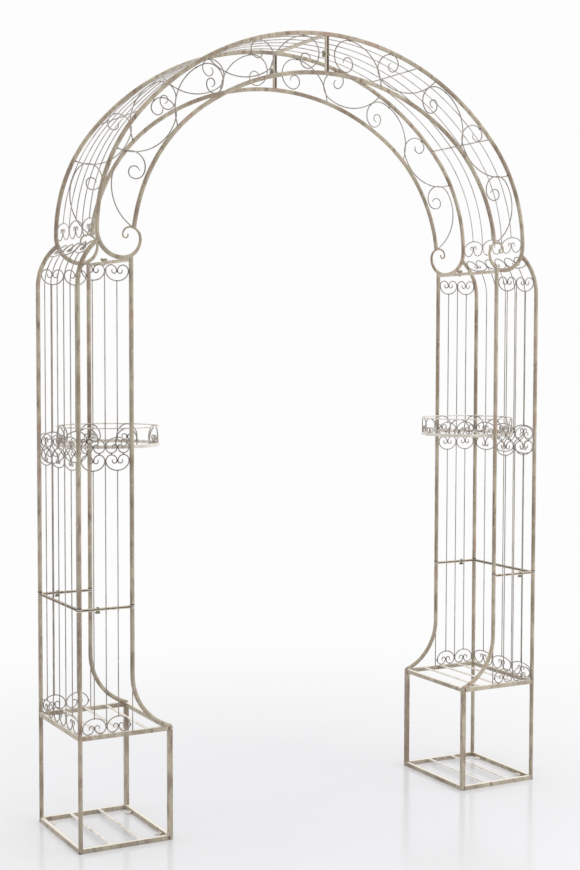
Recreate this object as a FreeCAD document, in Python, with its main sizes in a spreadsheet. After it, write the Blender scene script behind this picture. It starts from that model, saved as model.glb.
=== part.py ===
import FreeCAD, Part
import math
import os
from FreeCAD import Placement, Rotation, Vector

# Garden rose arch of bent steel tube: two lattice towers on box bases that hold planters,
# joined overhead by a double arch with scrollwork.
# X runs across the passage, Y through it and away from the viewer, Z up; the origin is on
# the ground at the middle of the passage. The right front quarter is drawn, and mirror
# images give the rest.

doc = FreeCAD.newDocument("RoseArch")
sheet = doc.addObject("Spreadsheet::Sheet", "Sizes")

SIZES = [
    # overall
    ("post_span", 1600, "outer post centres, across the passage"),
    ("frame_depth", 336, "front posts to back posts, centres"),
    ("tube_d", 13, "round tube of posts and arches"),
    # base box
    ("rail_w", 13, "square tube of the base frames"),
    ("base_len", 278, "outer post to inner leg, centres"),
    ("base_top", 338, "top face of the upper base frame"),
    ("slat_w", 10, "flat slats that carry the planter, width"),
    ("slat_t", 3, "the slats' thickness"),
    # tower
    ("column_w", 161, "outer post to inner post, centres"),
    ("joint_z", 699, "where lower and upper posts plug together"),
    ("curve_z", 500, "where the inner post starts to sweep out"),
    ("lean_in", 58, "the arch stands in from the outer posts by this much"),
    ("lean_r", 158, "radius of the outer post's lean"),
    ("lean_drop", 27, "the leaning post meets the arch this far below the spring line"),
    ("bar_w", 4, "thin level bars at the joint"),
    ("top_bar_w", 9, "flat bars over the inner posts, width"),
    ("top_bar_t", 4.5, "the top bars' thickness"),
    ("joint_gap", 0.4, "paint gap between bars that are bolted together"),
    # wire lattice
    ("wire_w", 3.2, "straight lattice wires"),
    ("ring_w", 3.6, "wire of the heart rings"),
    ("ring_h", 49, "height of a heart ring"),
    ("weld", 0.4, "how far welded wires sink into each other"),
    ("mid_z", 1141, "line where the two middle ring rows meet"),
    ("top_row_drop", 63.5, "foot of the top ring row, below the top bars' joint"),
    ("row_gap", 4, "the side's top ring row stops this far before the post's end"),
    # pot holders
    ("pot_clear", 15.5, "pot hoop to the planes of the front and back posts"),
    ("pot_rise", 73, "top of the upper hoop above the middle ring rows' line"),
    ("pot_h", 60, "pot holder's height"),
    ("pot_ring_len", 71, "width of a heart ring on the pot holder"),
    ("hoop_w", 4, "hoop wire"),
    ("band_h", 10, "lower flat hoop's height"),
    # arch
    ("spring_z", 1775, "spring line: height where the end scroll starts"),
    ("arch_flat", 127, "the crown is this much lower than a half circle's"),
    ("shoulder_in", 242, "centre of the shoulder's arc from the middle"),
    ("arch_gap", 117, "outer tube to inner tube at the crown, centres"),
    ("inner_flat", 22, "inner crown's radius, over that of a parallel curve"),
    ("inner_early", 15, "degrees by which the inner crown arc ends before the outer one"),
    ("crown_bar_w", 6.4, "uprights at the crown"),
    ("crown_tube_d", 8.5, "cross tubes at the crown"),
    # end scroll: the outer tube's foot coils in and tapers
    ("heel_r", 77, "radius of the first quarter turn"),
    ("toe_r", 55, "second quarter turn"),
    ("curl_r", 32, "third quarter turn"),
    ("coil_r", 22, "fourth quarter turn"),
    ("eye_r", 9, "fifth quarter turn"),
    ("tip_r", 7, "last quarter turn"),
    ("tip_len", 5, "straight tip"),
    ("curl_d", 5.6, "tube at the end of the third turn"),
    ("tip_d", 4.4, "tube at the tip"),
    ("inner_land", 23, "degrees before the curl's top where the inner tube lands"),
    # scrollwork and roof
    ("scroll_w", 3.6, "wire of the scrollwork"),
    ("eave_drop", 17, "roof's ring row hangs this far below the spring line"),
    ("roof_ring_h", 54, "height of a roof ring"),
    ("roof_rod_d", 4, "cross rods of the roof"),
]

for row, (alias, value, note) in enumerate(SIZES, start=1):
    sheet.set("A%d" % row, alias)
    sheet.set("B%d" % row, str(value))
    sheet.set("C%d" % row, note)
    sheet.setAlias("B%d" % row, alias)
doc.recompute()

# Places worked out from the sizes, as expressions that pieces are bound to

POST_X = "(Sizes.post_span / 2)"
FRONT_Y = "(-Sizes.frame_depth / 2)"
TUBE_R = "(Sizes.tube_d / 2)"
INNER_X = f"({POST_X} - Sizes.column_w)"
LEG_X = f"({POST_X} - Sizes.base_len)"
ARCH_X = f"({POST_X} - Sizes.lean_in)"

# Outer tube of the arch: a crown arc and a tighter shoulder arc
ARCH_RISE = f"({ARCH_X} - Sizes.arch_flat)"
CROWN_Z = f"(Sizes.spring_z + {ARCH_RISE})"
SHOULDER_R = f"({ARCH_X} - Sizes.shoulder_in)"
TURN = "(2 * atan2(Sizes.shoulder_in - Sizes.arch_flat; Sizes.shoulder_in))"
CROWN_R = f"({SHOULDER_R} + Sizes.shoulder_in / sin({TURN}))"

# Its end scroll: the centres of the quarter turns
HEEL_X = f"({ARCH_X} - Sizes.heel_r)"
TOE_Z = "(Sizes.spring_z - Sizes.heel_r + Sizes.toe_r)"
CURL_X = f"({HEEL_X} - Sizes.toe_r + Sizes.curl_r)"
COIL_Z = f"({TOE_Z} + Sizes.curl_r - Sizes.coil_r)"
EYE_X = f"({CURL_X} + Sizes.coil_r - Sizes.eye_r)"
TIP_Z = f"({COIL_Z} - Sizes.eye_r + Sizes.tip_r)"

# Inner tube: a crown arc, then a side arc that lands on the end scroll
INNER_Z = f"({CROWN_Z} - Sizes.arch_gap)"
INNER_R = f"({CROWN_R} - Sizes.arch_gap + Sizes.inner_flat)"
INNER_TURN = f"({TURN} - Sizes.inner_early * 1 deg)"
KNEE_X = f"({INNER_R} * sin({INNER_TURN}))"
KNEE_Z = f"({INNER_Z} - {INNER_R} * (1 - cos({INNER_TURN})))"
LAND_X = f"({CURL_X} - Sizes.curl_r * sin(Sizes.inner_land * 1 deg))"
LAND_Z = f"({TOE_Z} + Sizes.curl_r * cos(Sizes.inner_land * 1 deg))"
SIDE_HALF_TURN = f"(atan2({KNEE_Z} - {LAND_Z}; {LAND_X} - {KNEE_X}) - {INNER_TURN})"
SIDE_CHORD = f"sqrt(({LAND_X} - {KNEE_X}) ^ 2 + ({KNEE_Z} - {LAND_Z}) ^ 2)"
SIDE_R = f"({SIDE_CHORD} / (2 * sin({SIDE_HALF_TURN})))"

# Outer post: it leans in along an arc until it meets the heel of the end scroll
LEAN_X = f"({POST_X} - Sizes.lean_r)"
MEET_X = f"({HEEL_X} + sqrt(Sizes.heel_r ^ 2 - Sizes.lean_drop ^ 2))"
LEAN_TURN = f"acos(({MEET_X} - {LEAN_X}) / Sizes.lean_r)"
BEND_Z = f"(Sizes.spring_z - Sizes.lean_drop - Sizes.lean_r * sin({LEAN_TURN}))"

# Inner post: below it sweeps out to the base's inner corner, above it ends on the toe
SWEEP_OUT = f"({INNER_X} - {LEG_X})"
SWEEP_DROP = "(Sizes.curve_z - Sizes.base_top)"
SWEEP_R = f"(({SWEEP_OUT} ^ 2 + {SWEEP_DROP} ^ 2) / (2 * {SWEEP_OUT}))"
SWEEP_TURN = f"asin({SWEEP_DROP} / {SWEEP_R})"
INNER_TOP = f"({TOE_Z} - sqrt(Sizes.toe_r ^ 2 - ({HEEL_X} - {INNER_X}) ^ 2))"
BARS_Z = f"({INNER_TOP} - {TUBE_R} - Sizes.top_bar_t)"

# Ring rows: neighbouring rings touch a quarter pitch from the lobes' end
FRONT_PITCH = "((Sizes.column_w - Sizes.tube_d) / 2)"
SIDE_PITCH = "((Sizes.frame_depth - Sizes.tube_d) / 3)"
FRONT_START = f"({INNER_X} + {TUBE_R})"
SIDE_START = f"({FRONT_Y} + {TUBE_R})"

# Pot holder: it hangs inside the tower against the side panel
POT_R = "(Sizes.frame_depth / 2 - Sizes.pot_clear)"
POT_X = f"({POST_X} - Sizes.ring_w / 2 - {POT_R})"
POT_Z = "(Sizes.mid_z + Sizes.pot_rise - Sizes.pot_h)"

nodes = []


def number(expression):
    """The plain number that an expression gives; an angle comes in degrees."""
    result = sheet.evalExpression(expression)
    return float(getattr(result, "Value", result))


# Bound pieces

def at(item, x="0", y="0", z="0"):
    """Bind a piece's place."""
    item.setExpression("Placement.Base.x", x)
    item.setExpression("Placement.Base.y", y)
    item.setExpression("Placement.Base.z", z)
    return item


def box(name, low, size):
    """Bar from its low corner (x, y, z), with its size along each axis."""
    item = doc.addObject("Part::Box", name)
    for side, length in zip(("Length", "Width", "Height"), size):
        item.setExpression(side, length)
    return at(item, *low)


def bar_along_x(name, start, end, y, z, width, height):
    return box(name, (start, f"{y} - {width} / 2", z), (f"{end} - {start}", width, height))


def bar_along_y(name, x, start, end, z, width, height):
    return box(name, (f"{x} - {width} / 2", start, z), (width, f"{end} - {start}", height))


def upright(name, x, y, start, end, width):
    low = (f"{x} - {width} / 2", f"{y} - {width} / 2", start)
    return box(name, low, (width, width, f"{end} - {start}"))


def round_upright(name, x, y, start, end):
    """Post of round tube."""
    item = doc.addObject("Part::Cylinder", name)
    item.setExpression("Radius", TUBE_R)
    item.setExpression("Height", f"{end} - {start}")
    return at(item, x, y, start)


def round_along_y(name, x, z, diameter):
    """Round bar from the front posts' plane to the back posts' plane."""
    item = doc.addObject("Part::Cylinder", name)
    item.Placement = Placement(Vector(0, 0, 0), Rotation(Vector(1, 0, 0), -90))
    item.setExpression("Radius", f"{diameter} / 2")
    item.setExpression("Height", "Sizes.frame_depth")
    return at(item, x, FRONT_Y, z)


def fuse(name, pieces):
    item = doc.addObject("Part::MultiFuse", name)
    item.Shapes = pieces
    item.Refine = True
    return item


def together(name, pieces):
    item = doc.addObject("Part::Compound", name)
    item.Links = pieces
    return item


def cut(name, base, tools):
    item = doc.addObject("Part::Cut", name)
    item.Base = base
    item.Tool = tools[0] if len(tools) == 1 else together(name + "Tools", tools)
    return item


def mirrored(source, normal):
    item = doc.addObject("Part::Mirroring", source.Name + "Mirror")
    item.Source = source
    item.Normal = normal
    return item


ACROSS = Vector(1, 0, 0)
THROUGH = Vector(0, 1, 0)


def add_node(item, name):
    item.Label = name
    nodes.append(item)


def on_both_sides(item, name):
    """The right piece and its mirror image on the left."""
    add_node(item, "right_" + name)
    add_node(mirrored(item, ACROSS), "left_" + name)


def front_with_back(front, name):
    """The front piece and its mirror image at the back, as one node on each side."""
    on_both_sides(together(front.Name + "Pair", [front, mirrored(front, THROUGH)]), name)


def front_and_back(front, name):
    """The front piece and its mirror image at the back, as nodes of their own."""
    on_both_sides(front, name % "front")
    on_both_sides(mirrored(front, THROUGH), name % "back")


# Tube swept along tangent arcs, in the plane of the front posts

def line(name, x, start, end):
    """Upright stretch of a tube's centre line."""
    item = doc.addObject("Part::Line", name)
    for end_name, z in (("1", start), ("2", end)):
        item.setExpression("X" + end_name, x)
        item.setExpression("Y" + end_name, FRONT_Y)
        item.setExpression("Z" + end_name, z)
    return item


def arc(name, x, z, radius, start, end):
    """Arc about (x, z), counter-clockwise from start to end."""
    item = doc.addObject("Part::Circle", name)
    item.Placement = Placement(Vector(0, 0, 0), Rotation(Vector(1, 0, 0), 90))
    item.setExpression("Radius", radius)
    item.setExpression("Angle1", start)
    item.setExpression("Angle2", end)
    return at(item, x, FRONT_Y, z)


def section(name, x, z, diameter, turn):
    """Circle across the tube; turn is 0 where the tube runs upright."""
    item = doc.addObject("Part::Circle", name)
    item.setExpression("Radius", f"{diameter} / 2")
    place = f"placement(vector({x}; {FRONT_Y}; {z}); rotation(0; {turn}; 0))"
    item.setExpression("Placement", place)
    return item


def swept(name, sections, path):
    """Solid tube along a path of joined edges."""
    spine = together(name + "Path", path)
    doc.recompute()
    item = doc.addObject("Part::Sweep", name)
    item.Sections = sections
    item.Spine = (spine, ["Edge%d" % (i + 1) for i in range(len(path))])
    item.Solid = True
    item.Frenet = True
    return item


# Wire shapes drawn by code

def shaped(name, shape, rotation=Rotation()):
    """A piece with a shape of its own; its place is bound afterwards."""
    item = doc.addObject("Part::Feature", name)
    item.Shape = shape
    item.Placement = Placement(Vector(0, 0, 0), rotation)
    return item


def walk(a, z, heading, arcs, step):
    """Points along a chain of tangent arcs, each (radius, turn in degrees)."""
    points = [(a, z)]
    heading = math.radians(heading)
    for radius, turn in arcs:
        count = max(1, math.ceil(abs(turn) / step))
        part = math.radians(turn) / count
        chord = 2 * radius * math.sin(abs(part) / 2)
        for _ in range(count):
            heading += part / 2
            a += chord * math.cos(heading)
            z += chord * math.sin(heading)
            heading += part / 2
            points.append((a, z))
    return points


def direction(start, end):
    length = math.hypot(end[0] - start[0], end[1] - start[1])
    return (end[0] - start[0]) / length, (end[1] - start[1]) / length


def ribbon(points, width, closed=False):
    """Square wire bent along flat points (a, z): a mitred outline, extruded along Y."""
    last = len(points) - 1
    left = []
    right = []
    for i, here in enumerate(points):
        before = direction(points[i - 1], here) if i > 0 or closed else None
        after = direction(here, points[(i + 1) % (last + 1)]) if i < last or closed else before
        before = before or after
        share = width / 2 / (1 + before[0] * after[0] + before[1] * after[1])
        across = (-(before[1] + after[1]) * share, (before[0] + after[0]) * share)
        left.append(Vector(here[0] + across[0], -width / 2, here[1] + across[1]))
        right.append(Vector(here[0] - across[0], -width / 2, here[1] - across[1]))
    if closed:
        rims = [Part.Face(Part.makePolygon(side + side[:1])) for side in (left, right)]
        rims.sort(key=lambda face: face.Area)
        return rims[1].cut(rims[0]).extrude(Vector(0, width, 0))
    outline = left + right[::-1]
    return Part.Face(Part.makePolygon(outline + outline[:1])).extrude(Vector(0, width, 0))


def moved(shape, x):
    copy = shape.copy()
    copy.translate(Vector(x, 0, 0))
    return copy


def fused(shapes):
    return shapes[0].multiFuse(shapes[1:]).removeSplitter()


BOWL_STEPS = 6
LOBE_STEPS = 3


def heart(length, height, lobes_up):
    """Heart ring of wire: half an ellipse under two half circles; its foot is at (0, 0)."""
    width = number("Sizes.ring_w")
    half = (length - width) / 2
    lobe = half / 2
    bowl = height - width - lobe
    points = []
    for i in range(BOWL_STEPS):
        turn = math.pi * (1 + i / BOWL_STEPS)
        points.append((half * math.cos(turn), bowl * (1 + math.sin(turn))))
    for centre in (lobe, -lobe):
        for i in range(LOBE_STEPS):
            turn = math.pi * i / LOBE_STEPS
            points.append((centre + lobe * math.cos(turn), bowl + lobe * math.sin(turn)))
    if not lobes_up:
        points = [(a, height - width - z) for a, z in points]
    return ribbon([(a, z + width / 2) for a, z in points], width, closed=True)


def heart_row(pitch, count, height, lobes_up):
    """Rings side by side from a = 0, each sunk into the next by the weld."""
    length = pitch + number("Sizes.weld")
    ring = heart(length, height, lobes_up)
    return fused([moved(ring, pitch * (i + 0.5)) for i in range(count)])


# Base box

X_RAIL = (f"({LEG_X} - Sizes.rail_w / 2)", POST_X)


def base_frame(name, top, slat_count, posts):
    """Square-tube frame between the posts and the inner legs, with flat slats across."""
    low = f"({top} - Sizes.rail_w)"
    front = bar_along_x(name + "Rail", *X_RAIL, FRONT_Y, low, "Sizes.rail_w", "Sizes.rail_w")
    pieces = [front, mirrored(front, THROUGH)]
    for place, x in (("Inner", LEG_X), ("Outer", POST_X)):
        pieces.append(bar_along_y(name + place, x, FRONT_Y, f"(-{FRONT_Y})", low,
                                  "Sizes.rail_w", "Sizes.rail_w"))
    slat_y = f"({FRONT_Y} + Sizes.rail_w / 2)"
    for i in range(slat_count):
        x = f"({LEG_X} + Sizes.base_len * {i + 1} / {slat_count + 1})"
        pieces.append(bar_along_y(f"{name}Slat{i}", x, slat_y, f"(-{slat_y})",
                                  f"({top} - Sizes.slat_t)", "Sizes.slat_w", "Sizes.slat_t"))
    return cut(name, fuse(name + "Bars", pieces), posts)


lower_post = round_upright("LowerOuterPost", POST_X, FRONT_Y, "0", "Sizes.joint_z")
front_with_back(lower_post, "lower_outer_posts")
post_tools = [lower_post, mirrored(lower_post, THROUGH)]
on_both_sides(base_frame("BottomFrame", "Sizes.rail_w", 2, post_tools), "base_bottom_frame")
on_both_sides(base_frame("TopFrame", "Sizes.base_top", 3, post_tools), "base_top_frame")
leg = upright("InnerLeg", LEG_X, FRONT_Y, "Sizes.rail_w", "(Sizes.base_top - Sizes.rail_w)",
              "Sizes.rail_w")
front_with_back(leg, "base_inner_legs")

# Lower inner posts sweep out over the planter bay

sweep_path = [line("SweepUpright", INNER_X, "Sizes.joint_z", "Sizes.curve_z"),
              arc("SweepArc", f"{INNER_X} - {SWEEP_R}", "Sizes.curve_z", SWEEP_R,
                  f"-{SWEEP_TURN}", "0 deg")]
sweep_start = section("SweepSection", INNER_X, "Sizes.joint_z", "Sizes.tube_d", "0")
sweep_tube = swept("SweepTube", [sweep_start], sweep_path)
below_base = box("BelowBase", (f"{LEG_X} - Sizes.base_top", f"{FRONT_Y} - Sizes.tube_d", "0"),
                 ("2 * Sizes.base_top", "2 * Sizes.tube_d", "Sizes.base_top"))
inner_lower = cut("LowerInnerPost", sweep_tube, [below_base])
front_with_back(inner_lower, "lower_inner_posts")

# Arch tubes of the right front half arch

crown_arc = arc("CrownArc", "0", f"{CROWN_Z} - {CROWN_R}", CROWN_R, f"90 deg - {TURN}", "90 deg")
shoulder_arc = arc("ShoulderArc", "Sizes.shoulder_in", "Sizes.spring_z", SHOULDER_R, "0 deg",
                   f"90 deg - {TURN}")
heel_arc = arc("HeelArc", HEEL_X, "Sizes.spring_z", "Sizes.heel_r", "-90 deg", "0 deg")
crown_section = section("CrownSection", "0", CROWN_Z, "Sizes.tube_d", "90")
arch_tube = swept("ArchTube", [crown_section], [crown_arc, shoulder_arc, heel_arc])

toe_arc = arc("ToeArc", HEEL_X, TOE_Z, "Sizes.toe_r", "180 deg", "270 deg")
curl_arc = arc("CurlArc", CURL_X, TOE_Z, "Sizes.curl_r", "90 deg", "180 deg")
toe_section = section("ToeSection", HEEL_X, f"Sizes.spring_z - Sizes.heel_r", "Sizes.tube_d", "-90")
curl_section = section("CurlSection", CURL_X, f"{TOE_Z} + Sizes.curl_r", "Sizes.curl_d", "90")
curl_tube = swept("CurlTube", [toe_section, curl_section], [toe_arc, curl_arc])

coil_arc = arc("CoilArc", CURL_X, COIL_Z, "Sizes.coil_r", "0 deg", "90 deg")
eye_arc = arc("EyeArc", EYE_X, COIL_Z, "Sizes.eye_r", "-90 deg", "0 deg")
tip_arc = arc("TipArc", EYE_X, TIP_Z, "Sizes.tip_r", "180 deg", "270 deg")
tip_line = line("TipLine", f"{EYE_X} - Sizes.tip_r", TIP_Z, f"{TIP_Z} + Sizes.tip_len")
coil_section = section("CoilSection", CURL_X, f"{TOE_Z} + Sizes.curl_r", "Sizes.curl_d", "90")
tip_section = section("TipSection", f"{EYE_X} - Sizes.tip_r", f"{TIP_Z} + Sizes.tip_len",
                      "Sizes.tip_d", "0")
coil_tube = swept("CoilTube", [coil_section, tip_section], [coil_arc, eye_arc, tip_arc, tip_line])
outer_tube = fuse("OuterTube", [arch_tube, curl_tube, coil_tube])
front_and_back(outer_tube, "arch_%s_outer_tube")

inner_crown = arc("InnerCrownArc", "0", f"{INNER_Z} - {INNER_R}", INNER_R,
                  f"90 deg - {INNER_TURN}", "90 deg")
inner_side = arc("InnerSideArc", f"({INNER_R} - {SIDE_R}) * sin({INNER_TURN})",
                 f"{INNER_Z} - {INNER_R} + ({INNER_R} - {SIDE_R}) * cos({INNER_TURN})", SIDE_R,
                 f"90 deg - {INNER_TURN} - 2 * {SIDE_HALF_TURN}", f"90 deg - {INNER_TURN}")
inner_section = section("InnerSection", "0", INNER_Z, "Sizes.tube_d", "90")
inner_sweep = swept("InnerSweep", [inner_section], [inner_crown, inner_side])
inner_tube = cut("InnerTube", inner_sweep, [curl_tube])
front_and_back(inner_tube, "arch_%s_inner_tube")

# Upper posts: the outer ones lean in to the arch, the inner ones run up to its end scroll

post_path = [line("PostUpright", POST_X, "Sizes.joint_z", BEND_Z),
             arc("LeanArc", LEAN_X, BEND_Z, "Sizes.lean_r", "0 deg", LEAN_TURN)]
post_section = section("PostSection", POST_X, "Sizes.joint_z", "Sizes.tube_d", "0")
post_sweep = swept("PostSweep", [post_section], post_path)
front_with_back(cut("UpperOuterPost", post_sweep, [arch_tube]), "upper_outer_posts")
inner_upright = round_upright("InnerUpright", INNER_X, FRONT_Y, "Sizes.joint_z", INNER_TOP)
inner_upper = cut("UpperInnerPost", inner_upright, [outer_tube])
front_with_back(inner_upper, "upper_inner_posts")

# A pair of flat bars over the inner posts: the tower's own and, bolted on it, the arch's foot

inner_posts = [inner_upright, mirrored(inner_upright, THROUGH)]
top_bars = [bar_along_y("TowerBar", INNER_X, FRONT_Y, f"(-{FRONT_Y})",
                        f"({BARS_Z} - Sizes.joint_gap - Sizes.top_bar_t)", "Sizes.top_bar_w",
                        "Sizes.top_bar_t"),
            bar_along_y("FootBar", INNER_X, FRONT_Y, f"(-{FRONT_Y})", BARS_Z,
                        "Sizes.top_bar_w", "Sizes.top_bar_t")]
on_both_sides(cut("TopBar", together("TopBars", top_bars), inner_posts), "top_bar")

# Crown: uprights side by side where the half arches meet, and a pair of cross tubes

crown_bar = box("CrownBar", ("Sizes.joint_gap / 2", f"{FRONT_Y} - Sizes.crown_bar_w / 2", INNER_Z),
                ("Sizes.crown_bar_w", "Sizes.crown_bar_w", "Sizes.arch_gap"))
crown_bar_cut = cut("CrownBarCut", crown_bar, [outer_tube, inner_sweep])
crown_quarter = together("CrownBarPair", [crown_bar_cut, mirrored(crown_bar_cut, THROUGH)])
crown_bars = together("CrownBars", [crown_quarter, mirrored(crown_quarter, ACROSS)])
add_node(crown_bars, "crown_joint_bars")

CROSS_X = "((Sizes.crown_tube_d + Sizes.joint_gap) / 2)"
cross_tube = cut("CrossTube", round_along_y("CrossTubeBar", CROSS_X, CROWN_Z, "Sizes.crown_tube_d"),
                 [arch_tube, mirrored(arch_tube, THROUGH)])
add_node(together("CrossTubes", [cross_tube, mirrored(cross_tube, ACROSS)]), "crown_cross_tubes")

# Tower panels. Wires stand at the ring centres and between the rings: they end on the bowls
# and, between two rings, where those touch.


class Face:
    """One lattice side of the tower: where its rings start, their pitch and their number."""

    def __init__(self, name, start, pitch, count):
        self.name = name
        self.start = start
        self.pitch = pitch
        self.count = count
        self.end = f"({start} + {pitch} * {count})"

    def row(self, name, z, lobes_up):
        """Row of rings with its foot at a height."""
        shape = heart_row(number(self.pitch), self.count, number("Sizes.ring_h"), lobes_up)
        if self.name == "Front":
            return at(shaped(self.name + name, shape), self.start, FRONT_Y, z)
        turned = Rotation(Vector(0, 0, 1), 90)
        return at(shaped(self.name + name, shape, turned), POST_X, self.start, z)

    def wire(self, name, index, low, high):
        """Straight wire; an odd index stands between two rings."""
        place = f"({self.start} + {self.pitch} * {index + 1} / 2)"
        x, y = (place, FRONT_Y) if self.name == "Front" else (POST_X, place)
        return upright(f"{self.name}{name}{index}", x, y, low, high, "Sizes.wire_w")

    def bar(self, name, z):
        """Thin level bar from post to post."""
        if self.name == "Front":
            return bar_along_x(self.name + name, self.start, self.end, FRONT_Y, z, "Sizes.bar_w",
                               "Sizes.bar_w")
        return bar_along_y(self.name + name, POST_X, self.start, self.end, z, "Sizes.bar_w",
                           "Sizes.bar_w")

    def wires(self, name, low, high, low_rings, high_rings):
        """All wires between two heights; between rings they reach past the bowls."""
        reach = f"(Sizes.ring_h - {self.pitch} / 4)"
        pieces = []
        for index in range(2 * self.count - 1):
            overlap = reach if index % 2 else "Sizes.weld"
            start = f"({low} - {overlap})" if low_rings else low
            end = f"({high} + {overlap})" if high_rings else high
            pieces.append(self.wire(name, index, start, end))
        return pieces


front_face = Face("Front", FRONT_START, FRONT_PITCH, 2)
side_face = Face("Side", SIDE_START, SIDE_PITCH, 3)
JOINT_TOP = "(Sizes.joint_z + Sizes.bar_w)"
MID_LOW = "(Sizes.mid_z - Sizes.ring_h)"
MID_HIGH = "(Sizes.mid_z + Sizes.ring_h - Sizes.weld)"
TOP_ROW = f"({BARS_Z} - Sizes.top_row_drop)"


def lower_panel(face):
    """A row of rings on the base, wires over it and a bar at the joint."""
    bar_z = "(Sizes.joint_z - Sizes.bar_w)"
    pieces = [face.row("BaseRow", "Sizes.base_top", False), face.bar("JointBar", bar_z)]
    pieces += face.wires("LowerWire", "(Sizes.base_top + Sizes.ring_h)", bar_z, True, False)
    return fuse(face.name + "LowerPanel", pieces)


def middle_pieces(face):
    """The upper panel's bar, the wires over it and the two middle rows, back to back."""
    pieces = [face.bar("FootBar", "Sizes.joint_z")]
    pieces += face.wires("MiddleWire", JOINT_TOP, MID_LOW, False, True)
    pieces.append(face.row("MiddleLowRow", MID_LOW, True))
    pieces.append(face.row("MiddleHighRow", "(Sizes.mid_z - Sizes.weld)", False))
    return pieces


front_lower = lower_panel(front_face)
end_wire = cut("EndWire", upright("EndWireBar", INNER_X, FRONT_Y, "Sizes.base_top",
                                  f"Sizes.curve_z - sqrt({SWEEP_R} * Sizes.tube_d)",
                                  "Sizes.wire_w"), [sweep_tube])
front_and_back(together("FrontLower", [front_lower, end_wire]), "lower_%s_panel")
on_both_sides(lower_panel(side_face), "lower_side_panel")

# Front and back: the leaning post narrows the top row
lean_depth = number(TOP_ROW) + number("Sizes.ring_h") / 2 - number(BEND_Z)
lean_shift = number("Sizes.lean_r") - math.sqrt(number("Sizes.lean_r") ** 2 - lean_depth ** 2)
top_pitch = number(FRONT_PITCH) - lean_shift / front_face.count
front_pieces = middle_pieces(front_face)
front_pieces += front_face.wires("UpperWire", MID_HIGH, TOP_ROW, True, True)
top_row = heart_row(top_pitch, front_face.count, number("Sizes.ring_h"), True)
front_pieces.append(at(shaped("FrontTopRow", top_row), FRONT_START, FRONT_Y, TOP_ROW))
front_and_back(fuse("FrontUpperPanel", front_pieces), "upper_%s_panel")

# Side: the wires bend in with the posts, and the top row lies along the lean
TILT = f"({LEAN_TURN} - asin((Sizes.ring_h / 2 + Sizes.row_gap) / Sizes.lean_r))"
ROW_R = "(Sizes.lean_r - Sizes.ring_h ^ 2 / 16 / Sizes.lean_r)"
half_row = number("Sizes.ring_h") / 2
side_pieces = middle_pieces(side_face)
for index in range(2 * side_face.count - 1):
    between = index % 2
    foot = number(MID_HIGH) - (number("Sizes.ring_h") - number(SIDE_PITCH) / 4 if between else 0)
    short = half_row - (number("Sizes.ring_h") - number(SIDE_PITCH) / 4 if between else 0)
    turn = number(TILT) - math.degrees(math.asin(short / number("Sizes.lean_r")))
    bend = number(BEND_Z)
    points = [(0, foot - bend)] + walk(0, 0, 90, [(number("Sizes.lean_r"), turn)], 8)
    wire = shaped(f"SideUpperWire{index}", ribbon(points, number("Sizes.wire_w")))
    side_pieces.append(at(wire, POST_X, f"{SIDE_START} + {SIDE_PITCH} * {index + 1} / 2", BEND_Z))
side_row = heart_row(number(SIDE_PITCH), side_face.count, number("Sizes.ring_h"), True)
tilted = shaped("SideTopRow", side_row)
row_x = f"{LEAN_X} + {ROW_R} * cos({TILT}) + Sizes.ring_h / 2 * sin({TILT})"
row_z = f"{BEND_Z} + {ROW_R} * sin({TILT}) - Sizes.ring_h / 2 * cos({TILT})"
row_place = f"vector({row_x}; {SIDE_START}; {row_z})"
tilted.setExpression("Placement", f"placement({row_place}; rotation(90; 0; -{TILT}))")
side_pieces.append(tilted)
on_both_sides(fuse("SideUpperPanel", side_pieces), "upper_side_panel")

# Pot holder: a wire hoop over a flat hoop, joined by heart rings

POT_RINGS = 8


def hoop(name, low, height):
    """Hoop of square or flat wire about the pot holder's axis."""
    rims = []
    for rim, radius in (("Out", POT_R), ("In", f"({POT_R} - Sizes.hoop_w)")):
        item = doc.addObject("Part::Cylinder", name + rim)
        item.setExpression("Radius", radius)
        item.setExpression("Height", height)
        rims.append(at(item, POT_X, "0", low))
    return cut(name, rims[0], rims[1:])


pot_pieces = [hoop("WireHoop", f"({POT_Z} + Sizes.pot_h - Sizes.hoop_w)", "Sizes.hoop_w"),
              hoop("FlatHoop", POT_Z, "Sizes.band_h")]
pot_heart = heart(number("Sizes.pot_ring_len"), number("Sizes.pot_h"), False)
heart_r = f"({POT_R} - Sizes.hoop_w)"
for i in range(POT_RINGS):
    angle = 360 * i / POT_RINGS
    piece = shaped("PotHeart%d" % i, pot_heart, Rotation(Vector(0, 0, 1), angle + 90))
    pot_pieces.append(at(piece, f"{POT_X} + {heart_r} * cos({angle} deg)",
                         f"{heart_r} * sin({angle} deg)", POT_Z))
on_both_sides(fuse("PotHolder", pot_pieces), "pot_holder")

# Scrollwork between the arch's tubes. Each scroll is a chain of tangent arcs from its curl
# to its tail. It starts where the outer tube has turned by some degrees, at a depth below
# that tube, with a heading from the tube's own; depths and radii are shares of arch_gap.

SCROLLS = (
    (4.5, 0.682, 103, ((0.137, -153), (0.205, -147), (0.419, -170), (1.154, -78))),
    (17.0, 0.273, -138, ((0.120, 181), (0.239, 29), (0.231, 127), (0.410, 145), (1.308, 80))),
    (31.8, 0.688, -158, ((0.107, -237), (0.214, -110), (0.197, -52), (0.393, -153), (1.231, -90))),
    (44.4, 0.340, -68, ((0.145, 135), (0.179, 91), (0.299, 64), (0.376, 108), (1.205, 95))),
    (65.3, 0.793, 140, ((0.145, -142), (0.154, -98), (0.248, -81), (0.368, -169), (1.188, -94))),
)
SCROLL_STEP = 24

turn_at_knee = number(TURN)
crown_r = number(CROWN_R)
shoulder_r = number(SHOULDER_R)
arch_gap = number("Sizes.arch_gap")


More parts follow.
